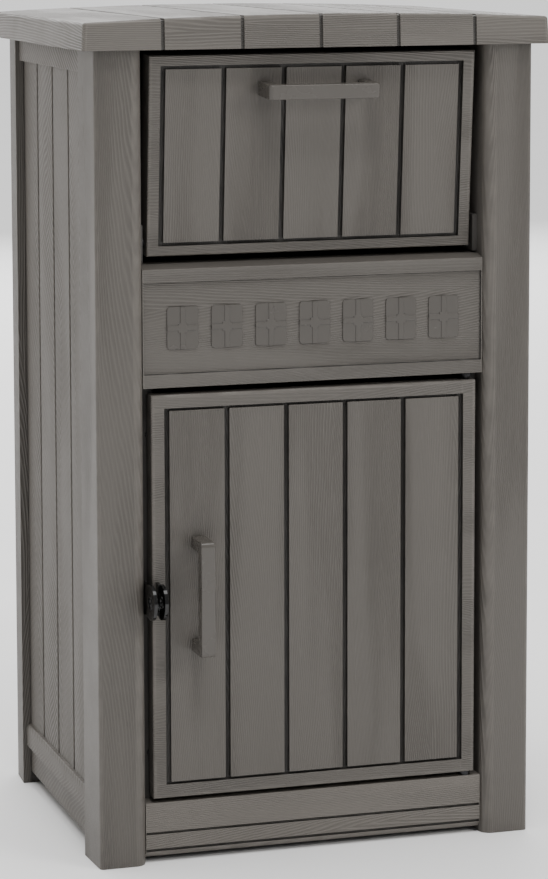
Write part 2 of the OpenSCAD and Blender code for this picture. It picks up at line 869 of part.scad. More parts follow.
module drop_door_panel() {
  x = drop_x;
  w = edge_wall;
  z0 = -drop_tail;
  y0 = -drop_face;
  y1 = y0 + drop_t;
  color(resin) leaned() difference() {
    union() {
      difference() {
        box(-x, y0, z0, x, y1, drop_top);
        box(-x + w, y0 + drop_skin, z0 + w, x - w, y1 + clear, drop_top - w);
      }
      for (s = [-1, 1], z = drop_liner_z)
        translate([s * drop_liner_x, y0 + drop_skin - eps, z]) rotate([-90, 0, 0])
          cylinder(r = liner_post_r, h = drop_t - drop_skin - liner_t + eps);
    }
    translate([0, y0, 0])
      door_grooves(x + drop_stile_step, z0 + drop_head, drop_top - drop_head, drop_border);
    translate([-x - clear, 0, 0]) along_x(1) cylinder(r = pivot_r, h = 2 * (x + clear));
    for (hx = handle_screw_x)
      translate([hx, y0 + drop_skin + clear, drop_top - drop_handle_down]) rotate([90, 0, 0])
        cylinder(r = screw_r, h = drop_skin + 2 * clear);
    for (s = [-1, 1], z = drop_liner_z)
      translate([s * drop_liner_x, y0 + drop_skin, z]) rotate([-90, 0, 0]) cylinder(r = screw_r, h = drop_t);
  }
}

module drop_door_liner() {
  x = cheek_x - sheet_t - fit_gap;
  y1 = drop_t - drop_face;
  color(resin_dark) leaned() difference() {
    box(-x, y1 - liner_t, drop_liner_foot, x, y1, drop_top - edge_wall - fit_gap);
    for (s = [-1, 1], z = drop_liner_z)
      translate([s * drop_liner_x, y1 - liner_t - clear, z]) rotate([-90, 0, 0])
        cylinder(r = screw_r, h = liner_t + 2 * clear);
  }
}

module drop_door_liner_screws() {
  color(steel) leaned() for (s = [-1, 1], z = drop_liner_z)
    translate([s * drop_liner_x, drop_t - drop_face, z]) rotate([90, 0, 0]) screw(drop_t - drop_skin - clear);
}

module drop_door_handle() {
  color(resin) leaned() translate([0, -drop_face, drop_top - drop_handle_down]) handle();
}

module drop_handle_screws() {
  color(steel) leaned() translate([0, -drop_face, drop_top - drop_handle_down]) handle_screws(drop_skin);
}

// The hopper's cheek: a sector from the door to the tray, y back and z up, about the pivot
module cheek_sector() {
  a0 = 90 - tray_angle;
  steps = 24;
  edge = drop_t - drop_face - liner_t;
  polygon(concat(
    [[edge, -cheek_foot], [edge, cheek_r - cheek_corner]],
    [for (i = [0 : steps]) let (a = cheek_a + (a0 - cheek_a) * i / steps,
      r = cheek_r + (tray_reach - cheek_r) * i / steps) [r * cos(a), r * sin(a)]]));
}

module cheek() {
  color(resin_dark) leaned() translate([cheek_x - sheet_t, 0, 0]) rotate([90, 0, 90]) difference() {
    union() {
      linear_extrude(sheet_t) cheek_sector();
      cylinder(r = pin_head_r + boss_wall, h = sheet_t);
    }
    translate([0, 0, -clear]) cylinder(r = pivot_r, h = sheet_t + 2 * clear);
  }
}

module hopper_left_cheek() {
  mirror([1, 0, 0]) cheek();
}

module hopper_right_cheek() {
  cheek();
}

module hopper_tray() {
  x = cheek_x - sheet_t - fit_gap;
  color(resin_dark) leaned() rotate([90 - tray_angle, 0, 0]) union() {
    box(-x, tray_from, -sheet_t / 2, x, tray_reach, sheet_t / 2);
    box(-x, tray_reach - sheet_t, -tray_lip, x, tray_reach, 0);
  }
}

module drop_door_pivot_pins() {
  inside = cheek_x - sheet_t;
  color(steel) leaned() for (s = [-1, 1]) {
    translate([s * inside, 0, 0]) along_x(s) cylinder(r = pivot_r, h = inner_x - 1 - inside);
    translate([s * inside, 0, 0]) along_x(-s) cylinder(r = pin_head_r, h = 3);
  }
}

front_left_post();
front_right_post();
rear_left_post();
rear_right_post();
left_side_panel();
right_side_panel();
rear_panel();
floor_panel();
lid();
lid_corner_blocks();
lid_screws();
header_rail();
name_panel();
bottom_rail();
left_jamb();
right_jamb();
jamb_screws();
door_bumpers();
left_pivot_bracket();
right_pivot_bracket();
pivot_bracket_screws();
upper_hinge_pin();
lower_hinge_pin();
frame_padlock_ear();
frame_ear_screws();
door_panel();
door_liner();
door_liner_screws();
door_handle();
door_handle_screws();
door_padlock_ear();
door_ear_screws();
drop_door_panel();
drop_door_liner();
drop_door_liner_screws();
drop_door_handle();
drop_handle_screws();
hopper_tray();
hopper_left_cheek();
hopper_right_cheek();
drop_door_pivot_pins();
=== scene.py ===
"""Looks of a free-standing parcel drop box in wood-effect resin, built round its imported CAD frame.

Every length is in metres and every place is in the CAD's own frame: the front faces -Y, +Z is up,
and the origin is on the ground at the middle of the outline.
"""

import json
import logging
import math
from dataclasses import dataclass, field
from enum import Enum
from typing import Any, Callable, Iterable, Sequence

import bmesh
import bpy
import numpy as np
from mathutils import Matrix, Vector

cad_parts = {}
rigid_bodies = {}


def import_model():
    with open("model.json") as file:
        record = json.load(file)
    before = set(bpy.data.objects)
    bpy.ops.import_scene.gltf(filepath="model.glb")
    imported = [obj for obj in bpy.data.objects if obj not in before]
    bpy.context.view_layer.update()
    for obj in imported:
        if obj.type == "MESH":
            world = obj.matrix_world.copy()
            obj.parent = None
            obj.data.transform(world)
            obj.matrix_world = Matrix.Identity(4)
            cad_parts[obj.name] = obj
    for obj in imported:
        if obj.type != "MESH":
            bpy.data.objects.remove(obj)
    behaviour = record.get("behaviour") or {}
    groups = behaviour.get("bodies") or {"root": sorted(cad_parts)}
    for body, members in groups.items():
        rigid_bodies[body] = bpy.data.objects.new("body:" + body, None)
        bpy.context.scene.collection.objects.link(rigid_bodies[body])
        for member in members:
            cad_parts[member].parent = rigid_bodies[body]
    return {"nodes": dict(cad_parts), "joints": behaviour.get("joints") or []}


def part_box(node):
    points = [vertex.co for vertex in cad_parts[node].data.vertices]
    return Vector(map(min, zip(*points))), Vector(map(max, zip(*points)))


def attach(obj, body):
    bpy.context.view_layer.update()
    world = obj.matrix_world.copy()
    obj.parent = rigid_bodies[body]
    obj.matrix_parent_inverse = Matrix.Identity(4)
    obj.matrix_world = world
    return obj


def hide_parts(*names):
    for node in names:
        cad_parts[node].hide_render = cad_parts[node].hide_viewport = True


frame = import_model()

log = logging.getLogger("parcel_box")
NEAR = 2e-5
OVER = 0.001  # how far a cutting tool reaches past what it cuts

WayTest = Callable[[Vector, Vector], bool]  # of a place and a direction
PlaceTest = Callable[[Vector], bool]
Numbers = Sequence[float]
Bosses = tuple[tuple[float, float, float, float], ...]


# ---------------------------------------------------------------- shaping by operators


class Axis(Enum):
    """One axis of the frame."""

    X = 0
    Y = 1
    Z = 2

    def unit(self, length: float = 1.0) -> Vector:
        """A vector of that length along the axis."""
        return Vector([length if i == self.value else 0.0 for i in range(3)])


class Lay(Enum):
    """The way the wood grain runs, as the order of axes read for across, along and through."""

    UP = (0, 2, 1)
    ACROSS = (2, 0, 1)
    BACK = (0, 1, 2)


GrainRule = Callable[[Vector, Vector], tuple[Lay, int]]


def near(a: float, b: float) -> bool:
    """Whether two lengths are the same within a hair."""
    return abs(a - b) < NEAR


def corners(node: str) -> tuple[Vector, Vector]:
    """The lowest and highest corner of a CAD node at rest."""
    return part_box(node)


def edge_middle(edge: bmesh.types.BMEdge) -> Vector:
    """The middle of an edge."""
    return (edge.verts[0].co + edge.verts[1].co) / 2


def edge_way(edge: bmesh.types.BMEdge) -> Vector:
    """The direction of an edge, of length one."""
    return (edge.verts[1].co - edge.verts[0].co).normalized()


def leave_nothing_selected() -> None:
    """Goes to object mode and deselects everything."""
    active = bpy.context.view_layer.objects.active
    if active is not None and active.mode != "OBJECT":
        bpy.ops.object.mode_set(mode="OBJECT")
    bpy.ops.object.select_all(action="DESELECT")


def take(*pieces: bpy.types.Object) -> None:
    """Selects these pieces only, with the last one active.

    Args:
        pieces: the objects to select.
    """
    leave_nothing_selected()
    for piece in pieces:
        piece.select_set(True)
        bpy.context.view_layer.objects.active = piece


@dataclass
class Blank:
    """A mesh that is being shaped by operators, as by hand.

    Attributes:
        piece: the mesh object, which sits at the origin.
    """

    piece: bpy.types.Object

    @classmethod
    def _newest(cls, name: str) -> "Blank":
        """Names the primitive just added and moves its place into its mesh.

        Args:
            name: the piece's name.

        Returns:
            The new blank.
        """
        piece = bpy.context.view_layer.objects.active
        piece.name = name
        piece.data.name = name
        bpy.ops.object.transform_apply(location=True, rotation=True, scale=True)
        return cls(piece)

    @classmethod
    def block(cls, name: str, low: Numbers, high: Numbers) -> "Blank":
        """A block between two corners.

        Args:
            name: the piece's name.
            low: its lowest corner.
            high: its highest corner.

        Returns:
            The new blank.
        """
        leave_nothing_selected()
        low, high = Vector(low), Vector(high)
        bpy.ops.mesh.primitive_cube_add(size=1.0, location=(low + high) / 2, scale=high - low)
        return cls._newest(name)

    @classmethod
    def rod(
        cls, name: str, start: Numbers, length: float, radius: float, axis: Axis, sides: int = 32
    ) -> "Blank":
        """A round bar along an axis.

        Args:
            name: the piece's name.
            start: the middle of its first end.
            length: its length along the axis.
            radius: its radius.
            axis: the axis it follows.
            sides: how many sides the round has.

        Returns:
            The new blank.
        """
        leave_nothing_selected()
        turns = {Axis.X: (0, math.pi / 2, 0), Axis.Y: (math.pi / 2, 0, 0), Axis.Z: (0, 0, 0)}
        bpy.ops.mesh.primitive_cylinder_add(
            vertices=sides,
            radius=radius,
            depth=abs(length),
            location=Vector(start) + axis.unit(length / 2),
            rotation=turns[axis],
        )
        return cls._newest(name)

    def edit_mesh(self) -> bmesh.types.BMesh:
        """The mesh, in edit mode.

        Returns:
            The mesh.
        """
        if self.piece.mode != "EDIT":
            take(self.piece)
            bpy.ops.object.mode_set(mode="EDIT")
        return bmesh.from_edit_mesh(self.piece.data)

    def _pick(self, mode: str, chosen: Callable[[bmesh.types.BMesh], list]) -> "Blank":
        """Selects what a test chooses, in one select mode, and stops if there is nothing.

        Args:
            mode: what is selected: VERT, EDGE or FACE.
            chosen: gives the elements to select.

        Returns:
            This blank.
        """
        self.edit_mesh()
        bpy.ops.mesh.select_mode(type=mode)
        bpy.ops.mesh.select_all(action="DESELECT")
        mesh = self.edit_mesh()
        found = chosen(mesh)
        if not found:
            raise ValueError(f"{self.piece.name}: nothing is there to pick")
        for element in found:
            element.select_set(True)
        mesh.select_flush_mode()
        bmesh.update_edit_mesh(self.piece.data)
        return self

    def faces(self, test: WayTest) -> "Blank":
        """Selects the faces whose centre and normal pass the test."""
        return self._pick("FACE", lambda m: [f for f in m.faces if test(f.calc_center_median(), f.normal)])

    def edges(self, test: WayTest) -> "Blank":
        """Selects the edges whose middle and direction pass the test."""
        return self._pick("EDGE", lambda m: [e for e in m.edges if test(edge_middle(e), edge_way(e))])

    def points(self, test: PlaceTest) -> "Blank":
        """Selects the points whose place passes the test."""
        return self._pick("VERT", lambda m: [v for v in m.verts if test(v.co)])

    def rim(self, test: PlaceTest) -> "Blank":
        """Selects the open edges whose middle passes the test."""
        return self._pick("EDGE", lambda m: [e for e in m.edges if e.is_boundary and test(edge_middle(e))])

    def score(self, axis: Axis, *places: float) -> "Blank":
        """Cuts lines round the whole piece where planes across the axis meet it.

        Args:
            axis: the axis that the planes stand across.
            places: where they meet it.

        Returns:
            This blank.
        """
        for place in places:
            self.edit_mesh()
            bpy.ops.mesh.select_all(action="SELECT")
            bpy.ops.mesh.bisect(plane_co=axis.unit(place), plane_no=axis.unit(), threshold=1e-7)
        return self

    def push(self, way: Numbers) -> "Blank":
        """Extrudes the selected faces and moves them."""
        bpy.ops.mesh.extrude_region_move(TRANSFORM_OT_translate={"value": Vector(way)})
        return self

    def sink(self, depth: float) -> "Blank":
        """Extrudes the selected faces inwards along their normals."""
        bpy.ops.mesh.extrude_region_shrink_fatten(
            TRANSFORM_OT_shrink_fatten={"value": -depth, "use_even_offset": True}
        )
        return self

    def inset(self, width: float, depth: float = 0.0) -> "Blank":
        """Insets the selected faces by a width, and moves them in by a depth."""
        bpy.ops.mesh.inset(thickness=width, depth=-depth, use_even_offset=True, use_boundary=True)
        return self

    def chamfer(self, width: float, segments: int = 3) -> "Blank":
        """Rounds the selected edges."""
        bpy.ops.mesh.bevel(offset=width, segments=segments, profile=0.5, affect="EDGES")
        return self

    def move(self, way: Numbers) -> "Blank":
        """Moves what is selected."""
        bpy.ops.transform.translate(value=Vector(way))
        return self

    def resize(self, share: Numbers, about: Numbers) -> "Blank":
        """Scales what is selected about a point."""
        bpy.ops.transform.resize(value=Vector(share), center_override=Vector(about))
        return self

    def open(self) -> "Blank":
        """Deletes the selected faces, with the edges that only they use."""
        bpy.ops.mesh.delete(type="FACE")
        return self

    def close(self) -> "Blank":
        """Fills the selected open edges with one face."""
        bpy.ops.mesh.edge_face_add()
        return self

    def _apply(self, kind: str, **settings: Any) -> "Blank":
        """Adds one modifier and applies it.

        Args:
            kind: the modifier's kind.
            settings: its settings.

        Returns:
            This blank.
        """
        take(self.piece)
        modifier = self.piece.modifiers.new(kind.title(), kind)
        for key, value in settings.items():
            setattr(modifier, key, value)
        bpy.ops.object.modifier_apply(modifier=modifier.name)
        return self

    def thicken(self, wall: float) -> "Blank":
        """Gives an open shell its wall, inwards."""
        return self._apply("SOLIDIFY", thickness=wall, offset=-1.0, use_even_offset=True)

    def cut(self, tool: "Blank") -> "Blank":
        """Takes the tool's shape out of this piece, and removes the tool."""
        return self._combine(tool, "DIFFERENCE")

    def weld(self, tool: "Blank") -> "Blank":
        """Adds the tool's shape to this piece, and removes the tool."""
        return self._combine(tool, "UNION")

    def _combine(self, tool: "Blank", operation: str) -> "Blank":
        """Joins or cuts with another blank's shape.

        Args:
            tool: the other blank, which is removed.
            operation: UNION or DIFFERENCE.

        Returns:
            This blank.
        """
        leave_nothing_selected()
        self._apply("BOOLEAN", operation=operation, object=tool.piece, solver="EXACT")
        bpy.data.objects.remove(tool.piece)
        return self

    def soften(self, width: float, segments: int = 3, angle: float = 40.0) -> "Blank":
        """Rounds every edge sharper than an angle."""
        return self._apply(
            "BEVEL",
            width=width,
            segments=segments,
            limit_method="ANGLE",
            angle_limit=math.radians(angle),
            miter_outer="MITER_ARC",
            use_clamp_overlap=True,
        )

    def tidy(self) -> "Blank":
        """Merges doubles and turns the faces outwards.

        Returns:
            This blank.
        """
        self.edit_mesh()
        bpy.ops.mesh.select_all(action="SELECT")
        bpy.ops.mesh.remove_doubles(threshold=1e-6)
        bpy.ops.mesh.normals_make_consistent(inside=False)
        return self

    def copy(self, name: str) -> "Blank":
        """A copy with its own mesh.

        Args:
            name: the copy's name.

        Returns:
            The copy.
        """
        take(self.piece)
        bpy.ops.object.duplicate(linked=False)
        twin = bpy.context.view_layer.objects.active
        twin.name = name
        twin.data.name = name
        return Blank(twin)

    def mirrored(self, name: str) -> "Blank":
        """A copy mirrored in X, with its faces turned outwards again.

        Args:
            name: the copy's name.

        Returns:
            The copy.
        """
        twin = self.copy(name)
        twin.edit_mesh()
        bpy.ops.mesh.select_all(action="SELECT")
        twin.resize((-1, 1, 1), (0, 0, 0))
        bpy.ops.mesh.normals_make_consistent(inside=False)
        return twin

    def place(self, turn: Matrix) -> "Blank":
        """Turns and moves the whole piece, and keeps its place in its mesh.

        Args:
            turn: the turn and the place.

        Returns:
            This blank.
        """
        take(self.piece)
        self.piece.matrix_world = turn
        bpy.ops.object.transform_apply(location=True, rotation=True, scale=True)
        return self

    def finish(self, smooth: float = 40.0) -> bpy.types.Object:
        """Shades the piece smooth below an angle, with flat faces kept flat.

        Args:
            smooth: the angle in degrees.

        Returns:
            The finished object.
        """
        take(self.piece)
        bpy.ops.object.shade_smooth_by_angle(angle=math.radians(smooth))
        self._apply("WEIGHTED_NORMAL", keep_sharp=True, weight=100)
        return self.piece


PLANK_STEP = (0.3137, 0.7331, 0.1713)  # how far apart two planks' grains are taken from
TWIN_STEP = (0.419, 0.863, 0.277)  # how far a copy's grain is moved


def lay_grain(
    blank: Blank, rule: GrainRule, sunk: WayTest | None = None, edge_face_width: float = 0.003
) -> Blank:
    """Writes where the wood grain runs on each face, which faces are edges, lightened as scuffing and painted
    highlight, and which lie in grooves, darkened as painted shade.

    Args:
        blank: the piece, upright and before it is leaned.
        rule: gives the lay and the plank's number for a face's centre and normal.
        sunk: whether a face lies down in a groove, where painted shade darkens it.
        edge_face_width: a face narrower than this counts as an edge, to be lightened as scuffing and painted
            highlight.

    Returns:
        The same blank.
    """
    leave_nothing_selected()
    mesh = blank.piece.data
    mesh.attributes.new("grain", "FLOAT_VECTOR", "CORNER")
    mesh.attributes.new("wear_highlight_and_shade", "FLOAT", "CORNER")
    places = np.zeros((len(mesh.loops), 3), np.float32)
    wear_and_painted_light = np.zeros(len(mesh.loops), np.float32)
    points = np.array([v.co for v in mesh.vertices], np.float32)
    for face in mesh.polygons:
        lay, plank = rule(face.center, face.normal)
        at = points[list(face.vertices)][:, lay.value]
        loops = list(face.loop_indices)
        places[loops] = at + np.array([plank * step for step in PLANK_STEP], np.float32)
        longest = max(math.dist(points[a], points[b]) for a, b in face.edge_keys)
        # Groove faces get -1, for painted shade; narrow edge faces get +1, for scuffing plus a painted
        # highlight.
        if sunk is not None and sunk(face.center, face.normal):
            wear_and_painted_light[loops] = -1.0
        elif face.area / longest < edge_face_width:
            wear_and_painted_light[loops] = 1.0
    mesh.attributes["grain"].data.foreach_set("vector", places.ravel())
    mesh.attributes["wear_highlight_and_shade"].data.foreach_set("value", wear_and_painted_light)
    return blank


def lay_shift(blank: Blank, steps: int) -> None:
    """Moves a copy's grain along, so that it doesn't repeat its twin's.

    Args:
        blank: the copy.
        steps: how many steps it moves.
    """
    leave_nothing_selected()
    data = blank.piece.data.attributes["grain"].data
    places = np.zeros(len(data) * 3, np.float32)
    data.foreach_get("vector", places)
    places = places.reshape(-1, 3) + np.array(TWIN_STEP, np.float32) * steps
    data.foreach_set("vector", places.ravel())


# ---------------------------------------------------------------- finishes


@dataclass
class Recipe:
    """The nodes of one material.

    Attributes:
        name: the material's name.
    """

    name: str
    material: bpy.types.Material = field(init=False)

    def __post_init__(self) -> None:
        """Makes an empty material with its shader and output."""
        self.material = bpy.data.materials.new(self.name)
        self.material.use_nodes = True
        self.tree = self.material.node_tree
        self.tree.nodes.clear()
        self.shader = self.add("ShaderNodeBsdfPrincipled")
        output = self.add("ShaderNodeOutputMaterial")
        self.tree.links.new(self.shader.outputs[0], output.inputs[0])

    def add(self, kind: str, **settings: Any) -> bpy.types.Node:
        """Adds a node with these settings.

        Args:
            kind: the node's kind.
            settings: its settings.

        Returns:
            The node.
        """
        node = self.tree.nodes.new(kind)
        for key, value in settings.items():
            setattr(node, key, value)
        return node

    def feed(self, socket: bpy.types.NodeSocket, value: Any) -> None:
        """Links a socket, or sets its value.

        Args:
            socket: the socket.
            value: another socket, or a value.
        """
        if isinstance(value, bpy.types.NodeSocket):
            self.tree.links.new(value, socket)
        else:
            socket.default_value = value

    def maths(self, operation: str, a: Any, b: Any = 0.0, c: Any = 0.0) -> bpy.types.NodeSocket:
        """One sum of up to three numbers.

        Args:
            operation: the kind of sum.
            a: the first number.
            b: the second.
            c: the third.

        Returns:
            The socket that gives it.
        """
        node = self.add("ShaderNodeMath", operation=operation)
        for socket, value in zip(node.inputs, (a, b, c)):
            self.feed(socket, value)
        return node.outputs[0]

    def stretch(self, vector: Any, scale: Numbers, shift: Numbers = (0, 0, 0)) -> bpy.types.NodeSocket:
        """A vector scaled by axis, so that a pattern is drawn out along the smallest.

        Args:
            vector: the vector.
            scale: the scale along each axis.
            shift: how far it is moved.

        Returns:
            The socket that gives it.
        """
        node = self.add("ShaderNodeMapping")
        self.feed(node.inputs["Vector"], vector)
        node.inputs["Scale"].default_value = scale
        node.inputs["Location"].default_value = shift
        return node.outputs[0]

    def noise(self, vector: Any, scale: float, detail: float = 2.0) -> bpy.types.NodeSocket:
        """Soft noise from 0 to 1.

        Args:
            vector: where it is read.
            scale: how fine it is.
            detail: how many finer layers it has.

        Returns:
            The socket that gives it.
        """
        node = self.add("ShaderNodeTexNoise")
        self.feed(node.inputs["Vector"], vector)
        node.inputs["Scale"].default_value = scale
        node.inputs["Detail"].default_value = detail
        return node.outputs["Fac"]

    def ramp(self, value: Any, low: float, high: float, to: Numbers = (0.0, 1.0)) -> bpy.types.NodeSocket:
        """A number brought smoothly from one range to another.

        Args:
            value: the number.
            low: the foot of its range.
            high: the top of its range.
            to: the foot and top of the new range.

        Returns:
            The socket that gives it.
        """
        node = self.add("ShaderNodeMapRange", interpolation_type="SMOOTHSTEP")
        self.feed(node.inputs["Value"], value)
        for name, number in zip(("From Min", "From Max", "To Min", "To Max"), (low, high, *to)):
            node.inputs[name].default_value = number
        return node.outputs[0]

    def blend(self, share: Any, a: Any, b: Any) -> bpy.types.NodeSocket:
        """A colour between two colours.

        Args:
            share: the share of the second.
            a: the first colour.
            b: the second.

        Returns:
            The socket that gives it.
        """
        node = self.add("ShaderNodeMix", data_type="RGBA")
        self.feed(node.inputs["Factor"], share)
        for socket, colour in ((node.inputs[6], a), (node.inputs[7], b)):
            self.feed(socket, (*colour, 1.0) if isinstance(colour, tuple) else colour)
        return node.outputs[2]

    def relief(self, height: Any, depth: float, under: Any = None) -> bpy.types.NodeSocket:
        """A bump of a real depth in metres.

        Args:
            height: the height, from 0 to 1.
            depth: its depth.
            under: the bump that it lies on.

        Returns:
            The socket that gives it.
        """
        node = self.add("ShaderNodeBump")
        node.inputs["Strength"].default_value = 1.0
        node.inputs["Distance"].default_value = depth
        self.feed(node.inputs["Height"], height)
        if under is not None:
            self.feed(node.inputs["Normal"], under)
        return node.outputs[0]

    def objects(self) -> bpy.types.NodeSocket:
        """The piece's own coordinates."""
        return self.add("ShaderNodeTexCoord").outputs["Object"]


Colour = tuple[float, float, float]


def shade(colour: Colour, by: float) -> Colour:
    """A colour made lighter or darker."""
    return tuple(min(1.0, c * by) for c in colour)


@dataclass(frozen=True)
class Coat:
    """What every finish has.

    Attributes:
        name: the material's name.
    """

    name: str

    def make(self) -> bpy.types.Material:
        """Builds the material.

        Returns:
            The material.
        """
        recipe = Recipe(self.name)
        self.mix(recipe, recipe.objects())
        return recipe.material

    def mix(self, r: Recipe, at: bpy.types.NodeSocket) -> None:
        """Adds the finish's own nodes.

        Args:
            r: the recipe.
            at: the piece's own coordinates.
        """
        raise NotImplementedError


@dataclass(frozen=True)
class WoodResin(Coat):
    """Moulded resin with an embossed wood grain, ringed and arched like sawn boards.

    Attributes:
        colour: its linear base colour.
        line: the spacing of the grain's lines.
        arch: how many lines cross a metre of a board's length, which draws them into arches.
        depth: the depth of the emboss.
        roughness: its mean roughness.
        contrast: how much darker its valleys are.
        laid: whether the grain follows the piece's own grain attribute.
        along: the lay where it doesn't.
        hearts: half the distance between two boards' hearts, where the rings turn back.
        wander: how far the hearts wander sideways.
        waver: how far a line wavers, in lines.
        valley_shade: the colour of its valleys, as a share of its own.
        speck_shade: the colour of its specks.
        wear_and_highlight_tone: the colour of its edges, lighter partly as scuffing and partly as a painted
            highlight.
        painted_groove_tone: the colour of its grooves, darkened as painted shade.
    """

    colour: Colour
    line: float = 0.0024
    arch: float = 25.0
    depth: float = 0.0005
    roughness: float = 0.42
    contrast: float = 0.42
    laid: bool = True
    along: Lay = Lay.UP
    hearts: float = 0.041
    wander: float = 0.07
    waver: float = 1.6
    valley_shade: float = 0.55
    speck_shade: float = 1.22
    wear_and_highlight_tone: float = 1.4
    painted_groove_tone: float = 0.2

    def _place(self, r: Recipe, at: bpy.types.NodeSocket) -> bpy.types.NodeSocket:
        """Where a point is, read across, along and through the grain.

        Args:
            r: the recipe.
            at: the piece's own coordinates.

        Returns:
            The socket that gives it.
        """
        if self.laid:
            return r.add("ShaderNodeAttribute", attribute_name="grain").outputs["Vector"]
        split = r.add("ShaderNodeSeparateXYZ")
        joined = r.add("ShaderNodeCombineXYZ")
        r.feed(split.inputs[0], at)
        for i, axis in enumerate(self.along.value):
            r.feed(joined.inputs[i], split.outputs[axis])
        return joined.outputs[0]

    def mix(self, r: Recipe, at: bpy.types.NodeSocket) -> None:
        """Adds the ridges, the tones of their valleys, the edges lightened as scuffing and painted highlight,
        and the painted shade in the grooves.

        Args:
            r: the recipe.
            at: the piece's own coordinates.
        """
        grain = self._place(r, at)
        split = r.add("ShaderNodeSeparateXYZ")
        r.feed(split.inputs[0], grain)
        across = r.maths("ADD", split.outputs[0], r.maths("MULTIPLY", split.outputs[2], 0.8))
        arches = r.noise(r.stretch(grain, (11.0, 1.5, 6.0)), 1.0, 0.0)
        waver = r.noise(r.stretch(grain, (70.0, 9.0, 30.0), (4, 1, 7)), 1.0, 1.0)
        heart = r.maths("PINGPONG", r.maths("MULTIPLY_ADD", arches, self.wander, across), self.hearts)
        lines = r.maths("MULTIPLY", heart, 1.0 / self.line)
        lines = r.maths("MULTIPLY_ADD", split.outputs[1], self.arch, lines)
        lines = r.maths("MULTIPLY_ADD", waver, self.waver, lines)
        ridge = r.maths("SINE", r.maths("MULTIPLY", lines, math.tau))
        ridge = r.maths("POWER", r.maths("MULTIPLY_ADD", ridge, 0.5, 0.5), 1.5)
        bands = r.noise(r.stretch(grain, (22.0, 2.2, 12.0), (9, 3, 2)), 1.0, 1.0)
        strong = r.ramp(bands, 0.40, 0.60, (0.4, 1.0))
        fibre = r.noise(r.stretch(grain, (1500.0, 70.0, 900.0)), 1.0, 2.0)
        height = r.maths("MULTIPLY_ADD", fibre, 0.35, r.maths("MULTIPLY", ridge, strong))
        skin = r.relief(r.noise(at, 2600.0, 1.0), 0.00004)
        r.feed(r.shader.inputs["Normal"], r.relief(height, self.depth, skin))
        tone = r.blend(r.noise(at, 5.0, 3.0), shade(self.colour, 0.93), shade(self.colour, 1.06))
        valley = r.maths("MULTIPLY", strong, self.contrast)
        valley = r.maths("MULTIPLY", r.maths("SUBTRACT", 1.0, ridge), valley)
        tone = r.blend(valley, tone, shade(self.colour, self.valley_shade))
        specks = r.noise(r.stretch(grain, (700.0, 60.0, 500.0), (2, 2, 2)), 1.0, 1.0)
        tone = r.blend(r.ramp(specks, 0.56, 0.8, (0.0, 0.35)), tone, shade(self.colour, self.speck_shade))
        # Edges are lightened in patches, partly as scuffing and partly as a painted highlight.
        edge_and_groove_patches = r.noise(at, 40.0, 2.0)
        wear_highlight_and_shade = r.add("ShaderNodeAttribute", attribute_name="wear_highlight_and_shade").outputs["Fac"]
        wear_and_painted_light = r.maths("MULTIPLY", r.maths("MAXIMUM", wear_highlight_and_shade, 0.0), r.ramp(edge_and_groove_patches, 0.3, 0.75, (0.15, 0.6)))
        tone = r.blend(wear_and_painted_light, tone, shade(self.colour, self.wear_and_highlight_tone))
        # Grooves are darkened as painted shade, standing in for the shadow down in them.
        painted_groove_shade = r.maths("MAXIMUM", r.maths("MULTIPLY", wear_highlight_and_shade, -1.0), 0.0)
        painted_groove_shade = r.maths("MULTIPLY", painted_groove_shade, r.ramp(edge_and_groove_patches, 0.2, 0.7, (0.95, 0.75)))
        r.feed(r.shader.inputs["Base Color"], r.blend(painted_groove_shade, tone, shade(self.colour, self.painted_groove_tone)))
        rough = r.maths("MULTIPLY_ADD", r.noise(at, 22.0, 3.0), 0.16, self.roughness - 0.08)
        rough = r.maths("MULTIPLY_ADD", valley, 0.5, rough)
        r.feed(r.shader.inputs["Roughness"], r.maths("MULTIPLY_ADD", wear_and_painted_light, -0.12, rough))
        r.shader.inputs["IOR"].default_value = 1.49


@dataclass(frozen=True)
class PlainResin(Coat):
    """Moulded resin with a fine leathered skin, for handles and inner parts.

    Attributes:
        colour: its linear base colour.
        roughness: its mean roughness.
        skin: the depth of its skin texture.
        size: how many skin cells there are to a metre.
        scuffs: how much lighter its scuffs are.
    """

    colour: Colour
    roughness: float = 0.45
    skin: float = 0.00005
    size: float = 900.0
    scuffs: float = 0.3

    def mix(self, r: Recipe, at: bpy.types.NodeSocket) -> None:
        """Adds the leathered skin, the clouded tone and the scuffs.

        Args:
            r: the recipe.
            at: the piece's own coordinates.
        """
        cells = r.add("ShaderNodeTexVoronoi", feature="SMOOTH_F1")
        r.feed(cells.inputs["Vector"], at)
        cells.inputs["Scale"].default_value = self.size
        bump = r.relief(r.noise(at, 12.0, 2.0), self.skin * 3)
        r.feed(r.shader.inputs["Normal"], r.relief(cells.outputs["Distance"], self.skin, bump))
        cloud = r.noise(at, 9.0, 4.0)
        tone = r.blend(cloud, shade(self.colour, 0.9), shade(self.colour, 1.08))
        scuff = r.ramp(r.noise(r.stretch(at, (60.0, 260.0, 60.0)), 1.0, 3.0), 0.6, 0.78, (0.0, self.scuffs))
        tone = r.blend(scuff, tone, shade(self.colour, 1.3))
        r.feed(r.shader.inputs["Base Color"], tone)
        rough = r.maths("MULTIPLY_ADD", r.noise(at, 35.0, 3.0), 0.2, self.roughness - 0.1)
        r.feed(r.shader.inputs["Roughness"], r.maths("MULTIPLY_ADD", scuff, 0.2, rough))
        r.shader.inputs["IOR"].default_value = 1.5


